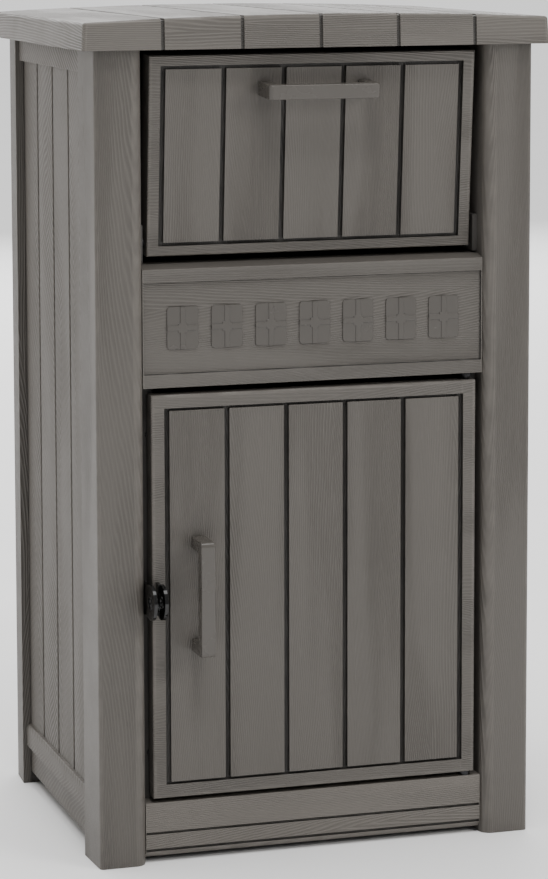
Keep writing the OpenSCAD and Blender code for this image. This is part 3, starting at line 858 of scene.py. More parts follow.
@dataclass(frozen=True)
class GlossBlack(Coat):
    """Glossy black moulding with fine swirl scratches and a little dust.

    Attributes:
        colour: its linear base colour.
    """

    colour: Colour = (0.005, 0.005, 0.005)

    def mix(self, r: Recipe, at: bpy.types.NodeSocket) -> None:
        """Adds the swirl scratches and the dust.

        Args:
            r: the recipe.
            at: the piece's own coordinates.
        """
        swirl = r.noise(r.stretch(at, (400.0, 3200.0, 500.0)), 1.0, 2.0)
        r.feed(r.shader.inputs["Normal"], r.relief(swirl, 0.00002, r.relief(r.noise(at, 90.0), 0.0001)))
        dust = r.ramp(r.noise(at, 300.0, 4.0), 0.6, 0.78, (0.0, 0.12))
        r.feed(r.shader.inputs["Base Color"], r.blend(dust, self.colour, (0.06, 0.057, 0.054)))
        r.feed(r.shader.inputs["Roughness"], r.maths("MULTIPLY_ADD", dust, 0.9, 0.1))


@dataclass(frozen=True)
class Rubber(Coat):
    """Matt black rubber with a grainy skin and pale bloom."""

    def mix(self, r: Recipe, at: bpy.types.NodeSocket) -> None:
        """Adds the grainy skin and the bloom.

        Args:
            r: the recipe.
            at: the piece's own coordinates.
        """
        r.feed(r.shader.inputs["Normal"], r.relief(r.noise(at, 1400.0, 3.0), 0.00012))
        bloom = r.ramp(r.noise(at, 160.0, 4.0), 0.45, 0.8, (0.0, 0.6))
        r.feed(r.shader.inputs["Base Color"], r.blend(bloom, (0.018, 0.018, 0.018), (0.06, 0.06, 0.058)))
        r.feed(r.shader.inputs["Roughness"], r.maths("MULTIPLY_ADD", bloom, 0.15, 0.75))


@dataclass(frozen=True)
class PlatedSteel(Coat):
    """Plated steel with turning marks and dull patches.

    Attributes:
        bright: its colour where it is bright.
        dull: its colour where it is dull.
        roughness: its least roughness.
    """

    bright: Colour = (0.62, 0.63, 0.64)
    dull: Colour = (0.45, 0.45, 0.43)
    roughness: float = 0.24

    def mix(self, r: Recipe, at: bpy.types.NodeSocket) -> None:
        """Adds the turning marks and the dull patches.

        Args:
            r: the recipe.
            at: the piece's own coordinates.
        """
        marks = r.noise(r.stretch(at, (2600.0, 2600.0, 500.0)), 1.0, 2.0)
        r.feed(r.shader.inputs["Normal"], r.relief(marks, 0.00003))
        patch = r.ramp(r.noise(at, 240.0, 3.0), 0.4, 0.7)
        r.feed(r.shader.inputs["Base Color"], r.blend(patch, self.bright, self.dull))
        r.feed(r.shader.inputs["Roughness"], r.maths("MULTIPLY_ADD", patch, 0.22, self.roughness))
        r.shader.inputs["Metallic"].default_value = 1.0


RESIN: Colour = (0.093, 0.084, 0.074)
RESIN_INNER: Colour = (0.045, 0.041, 0.037)


class Finish(Enum):
    """The finishes of the box, each made once."""

    FRONT = WoodResin("wood_resin", RESIN)
    PANEL = WoodResin(
        "wood_resin_panel", shade(RESIN, 1.03), line=0.0055, arch=90.0, depth=0.0006, roughness=0.56
    )
    LID = WoodResin(
        "wood_resin_lid",
        shade(RESIN, 1.14),
        line=0.003,
        arch=8.0,
        depth=0.0006,
        roughness=0.48,
        contrast=0.5,
    )
    # The same resin made 1.5 times lighter: painted light, for the extra light that the bottom board catches.
    BASE = WoodResin("wood_resin_base_lit", shade(RESIN, 1.5))
    RAIL = WoodResin("wood_resin_rail", RESIN, laid=False, along=Lay.ACROSS)
    RAISED = PlainResin(
        "raised_resin", shade(RESIN, 0.72), roughness=0.24, skin=0.00001, size=2600.0, scuffs=0.08
    )
    HANDLE = PlainResin(
        "handle_resin", shade(RESIN, 0.78), roughness=0.26, skin=0.00001, size=2600.0, scuffs=0.08
    )
    INNER = PlainResin("inner_resin", RESIN_INNER, roughness=0.6, skin=0.00012, size=700.0)
    GLOSS = GlossBlack("gloss_black")
    RUBBER = Rubber("bumper_rubber")
    STEEL = PlatedSteel("zinc_steel")
    BLACK_STEEL = PlatedSteel(
        "black_steel", bright=(0.045, 0.045, 0.048), dull=(0.028, 0.028, 0.028), roughness=0.42
    )

    def material(self) -> bpy.types.Material:
        """The Blender material, made on its first use."""
        return bpy.data.materials.get(self.value.name) or self.value.make()


def dress(piece: bpy.types.Object, finish: Finish) -> None:
    """Gives a piece its finish.

    Args:
        piece: the object.
        finish: its finish.
    """
    piece.data.materials.clear()
    piece.data.materials.append(finish.material())


def hand_over(piece: bpy.types.Object, body: str, finish: Finish, slot: str, *nodes: str) -> None:
    """Dresses a new piece, sets what it rides on and what it stands for, and reports it.

    Args:
        piece: the object.
        body: the CAD body that it rides on.
        finish: its finish.
        slot: the record's material slot; not used.
        nodes: the CAD nodes that it stands for.
    """
    dress(piece, finish)
    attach(piece, body)
    if nodes:
        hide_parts(*nodes)
    log.info("%s: %d faces, rides on %s", piece.name, len(piece.data.polygons), body)


# ---------------------------------------------------------------- the cabinet


@dataclass
class CornerPosts:
    """The four hollow corner posts, slotted for the panels.

    Attributes:
        draft: how far the outward face leans in.
        inner_radius: the radius of the corner beside the doors.
        outer_radius: the radius of the outer corner.
        wall: the wall left by the hollow.
        slot_depth: the depth of a panel slot.
        slot_from: the near side of a slot, from the outward face.
        slot_to: its far side.
        edge: the rounding of the other edges.
    """

    draft: float = 0.003
    inner_radius: float = 0.014
    outer_radius: float = 0.004
    wall: float = 0.0034
    slot_depth: float = 0.008
    slot_from: float = 0.0107
    slot_to: float = 0.0173
    edge: float = 0.0007

    def _post(self, name: str, node: str, rear: bool) -> Blank:
        """One post on the right, front or rear.

        Args:
            name: the piece's name.
            node: the CAD node that it stands for.
            rear: whether it is the rear one.

        Returns:
            The blank, with its grain.
        """
        low, high = corners(node)
        face, back, inward = (high.y, low.y, 1) if rear else (low.y, high.y, -1)
        blank = Blank.block(name, low, high)
        blank.points(lambda p: near(p.x, high.x) and near(p.y, face)).move((-self.draft, 0, 0))
        blank.edges(lambda p, d: abs(d.z) > 0.9 and near(p.x, low.x) and near(p.y, face))
        blank.chamfer(self.inner_radius, 9)
        blank.edges(lambda p, d: abs(d.z) > 0.9 and near(p.x, high.x - self.draft) and near(p.y, face))
        blank.chamfer(self.outer_radius, 4)
        blank.faces(lambda p, n: abs(n.z) > 0.9).open()
        x0, x1 = high.x - self.slot_to, high.x - self.slot_from
        blank.score(Axis.X, x0, x1)
        blank.faces(lambda p, n: near(p.y, back) and x0 < p.x < x1).push((0, inward * self.slot_depth, 0))
        if rear:
            y0, y1 = high.y - self.slot_to, high.y - self.slot_from
            blank.score(Axis.Y, y0, y1)
            blank.faces(lambda p, n: near(p.x, low.x) and y0 < p.y < y1).push((self.slot_depth, 0, 0))
        for z in (low.z, high.z):
            blank.rim(lambda p: near(p.z, z)).close()
        blank.tidy()
        blank.faces(lambda p, n: n.z < -0.9 and near(p.z, low.z))
        blank.inset(self.wall).push((0, 0, high.z - low.z - self.wall))
        blank.soften(self.edge, 2)
        return lay_grain(blank, lambda p, n: (Lay.UP, 1 if abs(n.y) > abs(n.x) else 5))

    def build(self) -> None:
        """Builds the front and rear posts, and mirrors them to the left."""
        for side, number in (("front", 0), ("rear", 2)):
            right = self._post(f"{side}_right_corner_post", f"{side}_right_post", side == "rear")
            left = right.mirrored(f"{side}_left_corner_post")
            lay_shift(left, number + 1)
            for blank, hand in ((right, "right"), (left, "left")):
                hand_over(blank.finish(), "cabinet", Finish.FRONT, "resin", f"{side}_{hand}_post")


@dataclass
class Panels:
    """The planked side and rear panels, with their raised rails.

    Attributes:
        skin: the panel's thickness.
        side_proud: how far a side panel's rails stand out.
        rear_proud: how far the rear panel's rails stand out.
        rail_low: the heights of the lower rail's foot and top.
        rail_bevel: the height of its sloped top.
        rail_ease: how far its upper edge goes back, as a share of how far it stands out.
        rail_high: the foot of the upper rail.
        groove: the width of a groove.
        depth: the depth of a groove.
        ledge: the heights of the ledge that the floor stands on.
        ledge_reach: how far the ledge reaches in.
        side_grooves: the grooves' places on a side panel.
        rear_planks: the planks of the rear panel.
        edge: the rounding of the edges.
    """

    skin: float = 0.006
    side_proud: float = 0.006
    rear_proud: float = 0.003
    rail_low: tuple[float, float] = (0.050, 0.078)
    rail_bevel: float = 0.005
    rail_ease: float = 0.42
    rail_high: float = 0.933
    groove: float = 0.006
    depth: float = 0.003
    ledge: tuple[float, float] = (0.020, 0.026)
    ledge_reach: float = 0.012
    side_grooves: tuple[float, ...] = (0.112, 0.034, -0.044)
    rear_planks: int = 5
    edge: float = 0.0008

    def _planked(
        self,
        name: str,
        low: Vector,
        high: Vector,
        out: Axis,
        run: Axis,
        ends: tuple[float, float],
        places: Iterable[float],
        proud: float,
    ) -> Blank:
        """A planked panel whose face looks along +out and whose planks follow each other along run.

        Args:
            name: the piece's name.
            low: its lowest corner, without its raised rails.
            high: its highest corner.
            out: the axis that its face looks along.
            run: the axis that its planks follow.
            ends: where the posts begin, along run.
            places: the grooves' places along run.
            proud: how far its rails stand out.

        Returns:
            The blank, with its grain.
        """
        places = list(places)
        half = self.groove / 2
        face, back = high[out.value], low[out.value]
        blank = Blank.block(name, low, high)
        blank.score(Axis.Z, *self.ledge, *self.rail_low, self.rail_low[1] - self.rail_bevel, self.rail_high)
        blank.score(run, *ends, *(g + s for g in places for s in (-half, half)))

        def between(p: Vector) -> bool:
            """Whether a place lies between the posts."""
            return ends[0] < p[run.value] < ends[1]

        blank.faces(
            lambda p, n: n[out.value] > 0.9
            and between(p)
            and (self.rail_low[0] < p.z < self.rail_low[1] or p.z > self.rail_high)
        ).push(out.unit(proud))
        blank.points(lambda p: near(p[out.value], face + proud) and near(p.z, self.rail_low[1]))
        blank.move(out.unit(-proud * self.rail_ease))
        blank.faces(
            lambda p, n: n[out.value] > 0.9
            and near(p[out.value], face)
            and self.rail_low[1] < p.z < self.rail_high
            and any(abs(p[run.value] - g) < half for g in places)
        ).push(out.unit(-self.depth))
        blank.faces(
            lambda p, n: n[out.value] < -0.9
            and near(p[out.value], back)
            and between(p)
            and self.ledge[0] < p.z < self.ledge[1]
        ).push(out.unit(-self.ledge_reach))
        blank.tidy().soften(self.edge, 2)

        def rule(p: Vector, n: Vector) -> tuple[Lay, int]:
            """Rails have their grain lengthways, and planks have it upright.

            Args:
                p: a face's centre.
                n: its normal.

            Returns:
                The lay and the board's number.
            """
            if p[out.value] > face + NEAR or p.z < self.rail_low[0]:
                return (Lay.ACROSS if run is Axis.X else Lay.BACK), (11 if p.z > 0.5 else 12)
            return Lay.UP, 1 + sum(p[run.value] > g for g in places)

        return lay_grain(blank, rule)

    def build(self) -> None:
        """Builds the right side panel, its mirrored twin and the rear panel."""
        low, high = corners("right_side_panel")
        face = high.x - self.side_proud
        ends = (corners("front_right_post")[1].y, corners("rear_right_post")[0].y)
        right = self._planked(
            "right_planked_side",
            Vector((face - self.skin, low.y, low.z)),
            Vector((face, high.y, high.z)),
            Axis.X,
            Axis.Y,
            ends,
            self.side_grooves,
            self.side_proud,
        )
        left = right.mirrored("left_planked_side")
        lay_shift(left, 3)
        for blank, hand in ((right, "right"), (left, "left")):
            hand_over(blank.finish(), "cabinet", Finish.PANEL, "resin_panel", f"{hand}_side_panel")
        low, high = corners("rear_panel")
        face = high.y - self.rear_proud
        inner = corners("rear_right_post")[0].x
        pitch = 2 * inner / self.rear_planks
        rear = self._planked(
            "planked_rear",
            Vector((low.x, face - self.skin, low.z)),
            Vector((high.x, face, high.z)),
            Axis.Y,
            Axis.X,
            (-inner, inner),
            [-inner + i * pitch for i in range(1, self.rear_planks)],
            self.rear_proud,
        )
        hand_over(rear.finish(), "cabinet", Finish.PANEL, "resin_panel", "rear_panel")


@dataclass
class Lid:
    """The planked lid: a crowned shell with a fascia all round.

    Attributes:
        crown: the rise at the middle.
        skin: the shell's wall.
        planks: the planks across it.
        groove: the width of a groove.
        depth: the depth of a groove.
        flare: how far the fascia spreads at its foot.
        corner: the radius of its upright corners.
        brow: the radius of its upper edge.
        columns: the steps of the crown's curve.
        edge: the rounding of the other edges.
    """

    crown: float = 0.007
    skin: float = 0.0044
    planks: int = 6
    groove: float = 0.0045
    depth: float = 0.0025
    flare: float = 0.0018
    corner: float = 0.005
    brow: float = 0.0033
    columns: int = 24
    edge: float = 0.0006

    def build(self) -> None:
        """Builds the shell, its crown and its grooves, and gives it its wall."""
        low, high = corners("lid")
        top = high.z - self.crown
        middle = (low + high) / 2
        half = (high - low) / 2
        blank = Blank.block("planked_lid", low, (high.x, high.y, top))
        blank.faces(lambda p, n: n.z < -0.9).open()
        blank.points(lambda p: near(p.z, top))
        blank.resize((1 - self.flare / half.x, 1 - self.flare / half.y, 1), (middle.x, middle.y, top))
        blank.edges(lambda p, d: abs(d.z) > 0.7).chamfer(self.corner, 6)
        blank.edges(lambda p, d: near(p.z, top)).chamfer(self.brow, 4)
        pitch = 2 * half.x / self.planks
        grooves = [-half.x + i * pitch for i in range(1, self.planks)]
        blank.score(Axis.X, *(half.x * (2 * i / self.columns - 1) for i in range(1, self.columns)))
        blank.score(Axis.X, *(g + s * self.groove / 2 for g in grooves for s in (-1, 1)))
        self._raise_crown(blank, top - self.brow - NEAR, half.x)
        blank.faces(lambda p, n: any(abs(p.x - g) < self.groove / 2 for g in grooves)).sink(self.depth)
        blank.faces(lambda p, n: abs(n.z) > 0.9 and p.z < low.z + self.depth).open()
        blank.points(lambda p: p.z < low.z + self.depth).resize((1, 1, 0), (0, 0, low.z))
        blank.tidy().thicken(self.skin).soften(self.edge, 2, 50.0)

        def rule(p: Vector, n: Vector) -> tuple[Lay, int]:
            """The top's planks run back, and the fascia's boards run round it.

            Args:
                p: a face's centre.
                n: its normal.

            Returns:
                The lay and the board's number.
            """
            plank = sum(p.x > g for g in grooves)
            if n.z > 0.6:
                return Lay.BACK, 20 + plank
            return (Lay.ACROSS, 30 + plank) if abs(n.y) > abs(n.x) else (Lay.BACK, 40)

        # The faces down in the grooves are darkened with painted shade.
        dark = self.groove / 2 - self.edge / 2
        lay_grain(blank, rule, lambda p, n: any(abs(p.x - g) < dark for g in grooves))
        hand_over(blank.finish(), "cabinet", Finish.LID, "resin_panel", "lid")

    def _raise_crown(self, blank: Blank, above: float, half: float) -> None:
        """Lifts each column of points above a height to the crown's curve.

        Args:
            blank: the lid.
            above: the height.
            half: half the width of the lid.
        """
        mesh = blank.edit_mesh()
        columns = sorted({round(v.co.x, 5) for v in mesh.verts if v.co.z > above})
        for x in columns:
            rise = self.crown * (1 - (x / half) ** 2)
            if rise > NEAR:
                blank.points(lambda p: p.z > above and abs(p.x - x) < NEAR).move((0, 0, rise))


@dataclass
class FrontRails:
    """The name panel with its sill and its row of tied parcels, and the bottom rail.

    Attributes:
        web: the thickness of the boards.
        flange: the thickness of the flanges behind them.
        sill_rise: how far the sill rises.
        sill_run: over what depth it rises.
        margin: the margin above and below the recessed band.
        side_margin: the margin at its ends.
        recess: its depth.
        slope: the width of its sloped edge.
        icons: how many parcels there are.
        icon: a parcel's width and height.
        line: the width of its straps.
        proud: how far the straps stand out of the band.
        strap: how far they stand out of the parcel.
        knot: half the size of the knot where they cross.
        icon_root: how far a parcel reaches into the board.
        icon_corner: the radius of its corners.
        icon_edge: the rounding of its edges.
        end_room: the room left at the row's ends, both together.
        split: the heights of the grooves of the bottom rail.
        split_width: their width and depth.
        lip_slope: how far the lip under the lowest groove goes back.
        ledge: the heights of the ledge that the floor stands on.
        ledge_reach: how far it reaches in.
        edge: the rounding of the bottom rail's edges.
        crisp: the rounding of the name panel's edges.
    """

    web: float = 0.008
    flange: float = 0.006
    sill_rise: float = 0.004
    sill_run: float = 0.016
    margin: float = 0.0156
    side_margin: float = 0.0016
    recess: float = 0.003
    slope: float = 0.0005
    icons: int = 7
    icon: tuple[float, float] = (0.038, 0.050)
    line: float = 0.006
    proud: float = 0.0025
    strap: float = 0.001
    knot: float = 0.0055
    icon_root: float = 0.001
    icon_corner: float = 0.004
    icon_edge: float = 0.0005
    end_room: float = 0.060
    split: tuple[float, ...] = (0.0355, 0.015)
    split_width: float = 0.003
    lip_slope: float = 0.005
    ledge: tuple[float, float] = (0.020, 0.026)
    ledge_reach: float = 0.012
    edge: float = 0.0008
    crisp: float = 0.0004

    def _name_panel(self) -> Blank:
        """The board with its sill, its recessed band and the channel behind it.

        Returns:
            The blank.
        """
        low, high = corners("name_panel")
        front_top = high.z - self.sill_rise
        blank = Blank.block("name_board", low, high)
        blank.score(Axis.Y, low.y + self.sill_run)
        blank.points(lambda p: near(p.y, low.y) and near(p.z, high.z)).move((0, 0, -self.sill_rise))
        blank.faces(lambda p, n: n.y > 0.9)
        blank.inset(self.flange).push((0, -(high.y - low.y - self.web), 0))
        blank.score(Axis.Z, low.z + self.margin, front_top - self.margin)
        blank.score(Axis.X, low.x + self.side_margin, high.x - self.side_margin)
        blank.faces(
            lambda p, n: n.y < -0.9
            and abs(p.x) < high.x - self.side_margin
            and low.z + self.margin < p.z < front_top - self.margin
        )
        blank.inset(self.slope, self.recess)
        return blank.tidy().soften(self.crisp, 2)

    def _parcels(self) -> Blank:
        """The row of tied parcels, one modelled and the rest copied from it.

        Returns:
            The row, as one blank.
        """
        low, high = corners("name_panel")
        floor = low.y + self.recess
        middle = (low.z + high.z - self.sill_rise) / 2
        w, h, half = self.icon[0] / 2, self.icon[1] / 2, self.line / 2
        face = floor - self.proud + self.strap
        first = Blank.block("tied_parcels", (-w, face, -h), (w, floor + self.icon_root, h))
        first.edges(lambda p, d: abs(d.y) > 0.9).chamfer(self.icon_corner, 4)
        first.score(Axis.X, -self.knot, -half, half, self.knot)
        first.score(Axis.Z, -self.knot, -half, half, self.knot)
        first.faces(
            lambda p, n: n.y < -0.9
            and (min(abs(p.x), abs(p.z)) < half or max(abs(p.x), abs(p.z)) < self.knot)
        ).push((0, -self.strap, 0))
        first.tidy().soften(self.icon_edge, 3)
        pitch = (high.x - low.x - self.end_room - self.icon[0]) / (self.icons - 1)
        row = [first] + [first.copy(f"tied_parcel_{i}") for i in range(1, self.icons)]
        for i, parcel in enumerate(row):
            x = (i - (self.icons - 1) / 2) * pitch
            parcel.place(Matrix.Translation((x, 0, middle)))
        take(*(b.piece for b in reversed(row)))
        bpy.ops.object.join()
        return first

    def _bottom_rail(self) -> Blank:
        """The split board, with its flange and the floor's ledge behind it.

        Returns:
            The blank.
        """
        low, high = corners("bottom_rail")
        back = low.y + self.web
        blank = Blank.block("bottom_board", low, (high.x, back, high.z))
        half = self.split_width / 2
        splits = [s + t for s in self.split for t in (-half, half)]
        blank.score(Axis.Z, high.z - self.flange, *self.ledge, *splits)
        blank.score(Axis.X, low.x + self.edge, high.x - self.edge)
        blank.faces(
            lambda p, n: n.y < -0.9
            and abs(p.x) < high.x - self.edge
            and any(abs(p.z - s) < half for s in self.split)
        ).push((0, self.split_width, 0))
        blank.points(lambda p: near(p.y, low.y) and near(p.z, low.z)).move((0, self.lip_slope, 0))
        blank.faces(lambda p, n: n.y > 0.9 and p.z > high.z - self.flange).push((0, high.y - back, 0))
        blank.faces(lambda p, n: n.y > 0.9 and near(p.y, back) and self.ledge[0] < p.z < self.ledge[1])
        blank.push((0, self.ledge_reach, 0))
        return blank.tidy().soften(self.edge, 2)

    def build(self) -> None:
        """Builds the name board, its parcels and the bottom board."""
        face = corners("name_panel")[0].y
        # The sloped walls of the recessed band are darkened with painted shade, a dark line round the band.
        name = lay_grain(
            self._name_panel(),
            lambda p, n: (Lay.ACROSS, 51),
            lambda p, n: face + self.crisp < p.y < face + self.recess - NEAR,
        )
        hand_over(name.finish(), "cabinet", Finish.FRONT, "resin", "name_panel")
        hand_over(self._parcels().finish(), "cabinet", Finish.RAISED, "resin", "name_panel")
        face = corners("bottom_rail")[0].y
        # The split grooves' walls and floors are darkened with painted shade.
        bottom = lay_grain(
            self._bottom_rail(),
            lambda p, n: (Lay.ACROSS, 53 + sum(p.z < s for s in self.split)),
            lambda p, n: face + self.edge < p.y < face + self.split_width + NEAR
            and any(abs(p.z - s) < self.split_width / 2 + NEAR for s in self.split),
        )
        # The bottom board gets the lightened resin, which is painted light.
        hand_over(bottom.finish(), "cabinet", Finish.BASE, "resin", "bottom_rail")


# ---------------------------------------------------------------- the doors


@dataclass
class PlankedDoor:
    """A planked door skin: a plain stile round planks that sunk grooves part.

    Attributes:
        name: the piece's name.
        node: the CAD node that it stands for.
        body: the body that it rides on.
        low: its lowest corner, upright.
        high: its highest corner, upright.
        stile: the stile's width at the sides.
        head: the stile's width at the top and foot.
        groove: the width of an upright groove.
        border: the width of a groove along the top and foot.
        depth: the grooves' depth.
        planks: the planks across it.
        rim: the wall at its edges.
        skin: the thickness left at the front.
        bosses: the corners of what stays solid behind, as x and z ranges.
        brow: the radius of the face's outer edges.
        edge: the rounding of the other edges.
        unshaded_lip: how far down a groove's walls stay free of painted shade.
        behind: how far past the grooves' floors the grain of the back begins.
        lean: the turn and place that it gets at the end.
        seed: the first plank's number.
    """

    name: str
    node: str
    body: str
    low: Vector
    high: Vector
    stile: float = 0.016
    head: float = 0.016
    groove: float = 0.006
    border: float = 0.003
    depth: float = 0.006
    planks: int = 5
    rim: float = 0.004
    skin: float = 0.009
    bosses: Bosses = ()
    brow: float = 0.0018
    edge: float = 0.0007
    unshaded_lip: float = 0.0009
    behind: float = 0.001
    lean: Matrix = field(default_factory=lambda: Matrix.Identity(4))
    seed: int = 60

    def _in_groove(self, x: float, z: float) -> bool:
        """Whether a place on the face lies in a groove.

        Args:
            x: its place across.
            z: its height.

        Returns:
            True if it does.
        """
        inner = self.high.x - self.stile
        z0, z1 = self.low.z + self.head, self.high.z - self.head
        if abs(x) > inner or not z0 < z < z1:
            return False
        pitch = (2 * inner - self.groove) / self.planks
        along = (x + inner) % pitch
        return along < self.groove or z < z0 + self.border or z > z1 - self.border

    def build(self, bores: Iterable[Blank] = ()) -> bpy.types.Object:
        """Builds the skin.

        Args:
            bores: the shapes taken out of it.

        Returns:
            The finished piece.
        """
        low, high = self.low, self.high
        inner = high.x - self.stile
        pitch = (2 * inner - self.groove) / self.planks
        z0, z1 = low.z + self.head, high.z - self.head
        blank = Blank.block(self.name, low, high)
        blank.edges(lambda p, d: near(p.y, low.y)).chamfer(self.brow, 3)
        uprights = [-inner + i * pitch for i in range(self.planks + 1)]
        blank.score(Axis.X, *(u + s for u in uprights for s in (0.0, self.groove)))
        blank.score(Axis.Z, z0, z0 + self.border, z1 - self.border, z1)
        blank.faces(lambda p, n: n.y < -0.9 and near(p.y, low.y) and self._in_groove(p.x, p.z))
        blank.push((0, self.depth, 0))
        blank.score(Axis.X, low.x + self.rim, high.x - self.rim, *(b[0] for b in self.bosses))
        blank.score(Axis.Z, low.z + self.rim, high.z - self.rim, *(z for b in self.bosses for z in b[2:]))
        blank.faces(
            lambda p, n: n.y > 0.9
            and near(p.y, high.y)
            and abs(p.x) < high.x - self.rim
            and low.z + self.rim < p.z < high.z - self.rim
            and not any(b[0] < p.x < b[1] and b[2] < p.z < b[3] for b in self.bosses)
        ).push((0, -(high.y - low.y - self.skin), 0))
        blank.tidy()
        for bore in bores:
            blank.cut(bore)
        blank.soften(self.edge, 2)
        floor = low.y + self.depth

        def rule(p: Vector, n: Vector) -> tuple[Lay, int]:
            """The stile's grain runs across, and each plank has its own upright grain.

            Args:
                p: a face's centre.
                n: its normal.

            Returns:
                The lay and the board's number.
            """
            if abs(p.x) > inner or not z0 < p.z < z1 or p.y > floor + self.behind:
                return Lay.ACROSS, self.seed
            return Lay.UP, self.seed + 1 + int((p.x + inner) // pitch)

        # Faces down in the grooves are darkened with painted shade.
        def sunk(p: Vector, n: Vector) -> bool:
            """Whether a face lies down in a groove."""
            inside = abs(p.x) < inner + NEAR and z0 - NEAR < p.z < z1 + NEAR
            return inside and low.y + self.unshaded_lip < p.y < floor + NEAR

        lay_grain(blank, rule, sunk).place(self.lean)
        hand_over(blank.finish(), self.body, Finish.FRONT, "resin", self.node)
        return blank.piece


@dataclass
class BowHandle:
    """A bow handle: a flat-fronted bar on two legs.

    Attributes:
        length: its length.
        width: its width.
        reach: how far it stands off the door.
        bar: the bar's thickness.
        leg: a leg's thickness.
        outer: the radius of its outer corners.
        inner: the radius inside the legs.
        edge: the rounding of its long edges.
    """

    length: float = 0.137
    width: float = 0.017
    reach: float = 0.0435
    bar: float = 0.015
    leg: float = 0.014
    outer: float = 0.006
    inner: float = 0.006
    edge: float = 0.0014

    def shape(self, name: str) -> Blank:
        """The handle with its length along X and its foot on y = 0.

        Args:
            name: the piece's name.

        Returns:
            The blank, before it is placed.
        """
        half, side = self.length / 2, self.width / 2
        under = -self.reach + self.bar
        blank = Blank.block(name, (-half, -self.reach, -side), (half, under, side))
        blank.score(Axis.X, -half + self.leg, half - self.leg)
        blank.faces(lambda p, n: n.y > 0.9 and abs(p.x) > half - self.leg).push((0, -under, 0))
        blank.edges(lambda p, d: abs(d.z) > 0.9 and near(abs(p.x), half) and near(p.y, -self.reach))
        blank.chamfer(self.outer, 6)
        blank.edges(lambda p, d: abs(d.z) > 0.9 and near(abs(p.x), half - self.leg) and near(p.y, under))
        blank.chamfer(self.inner, 6)
        blank.tidy().soften(self.edge, 4, 50.0)
        return blank


@dataclass
class PadlockEar:
    """A glossy ear: a disc with a padlock eye and a raised ring round it, on a flat arm.

    Attributes:
        radius: the disc's radius.
        eye: the eye's radius.
        ring: the raised ring's outer radius.
        ring_proud: how far the ring stands out.
        rim: the width of the disc's sloped edge.
        arm: half the arm's height, as a share of the radius.
        drill: how far the eye's tool reaches past the ear.
        edge: the rounding of the ring's and the eye's edges.
    """

    radius: float = 0.021
    eye: float = 0.006
    ring: float = 0.0098
    ring_proud: float = 0.0006
    rim: float = 0.0012
    arm: float = 0.9
    drill: float = 0.01
    edge: float = 0.0003

    def shape(self, name: str, x0: float, x1: float, y: float, z: float, back: float) -> Blank:
        """One ear.

        Args:
            name: the piece's name.
            x0: its lower face.
            x1: its upper face.
            y: the eye's place.
            z: the eye's height.
            back: how far back the arm reaches.

        Returns:
            The blank, in place.
        """
        ear = Blank.rod(name, (x0, y, z), x1 - x0, self.radius, Axis.X, 64)
        arm_half = self.radius * self.arm
        ear.weld(Blank.block("arm", (x0, y, z - arm_half), (x1, back, z + arm_half)))
        ear.soften(self.rim, 3)
        for work, past, radius in ((ear.weld, self.ring_proud, self.ring), (ear.cut, self.drill, self.eye)):
            work(Blank.rod("tool", (x0 - past, y, z), x1 - x0 + 2 * past, radius, Axis.X, 48))
        return ear.soften(self.edge, 2, 60.0)


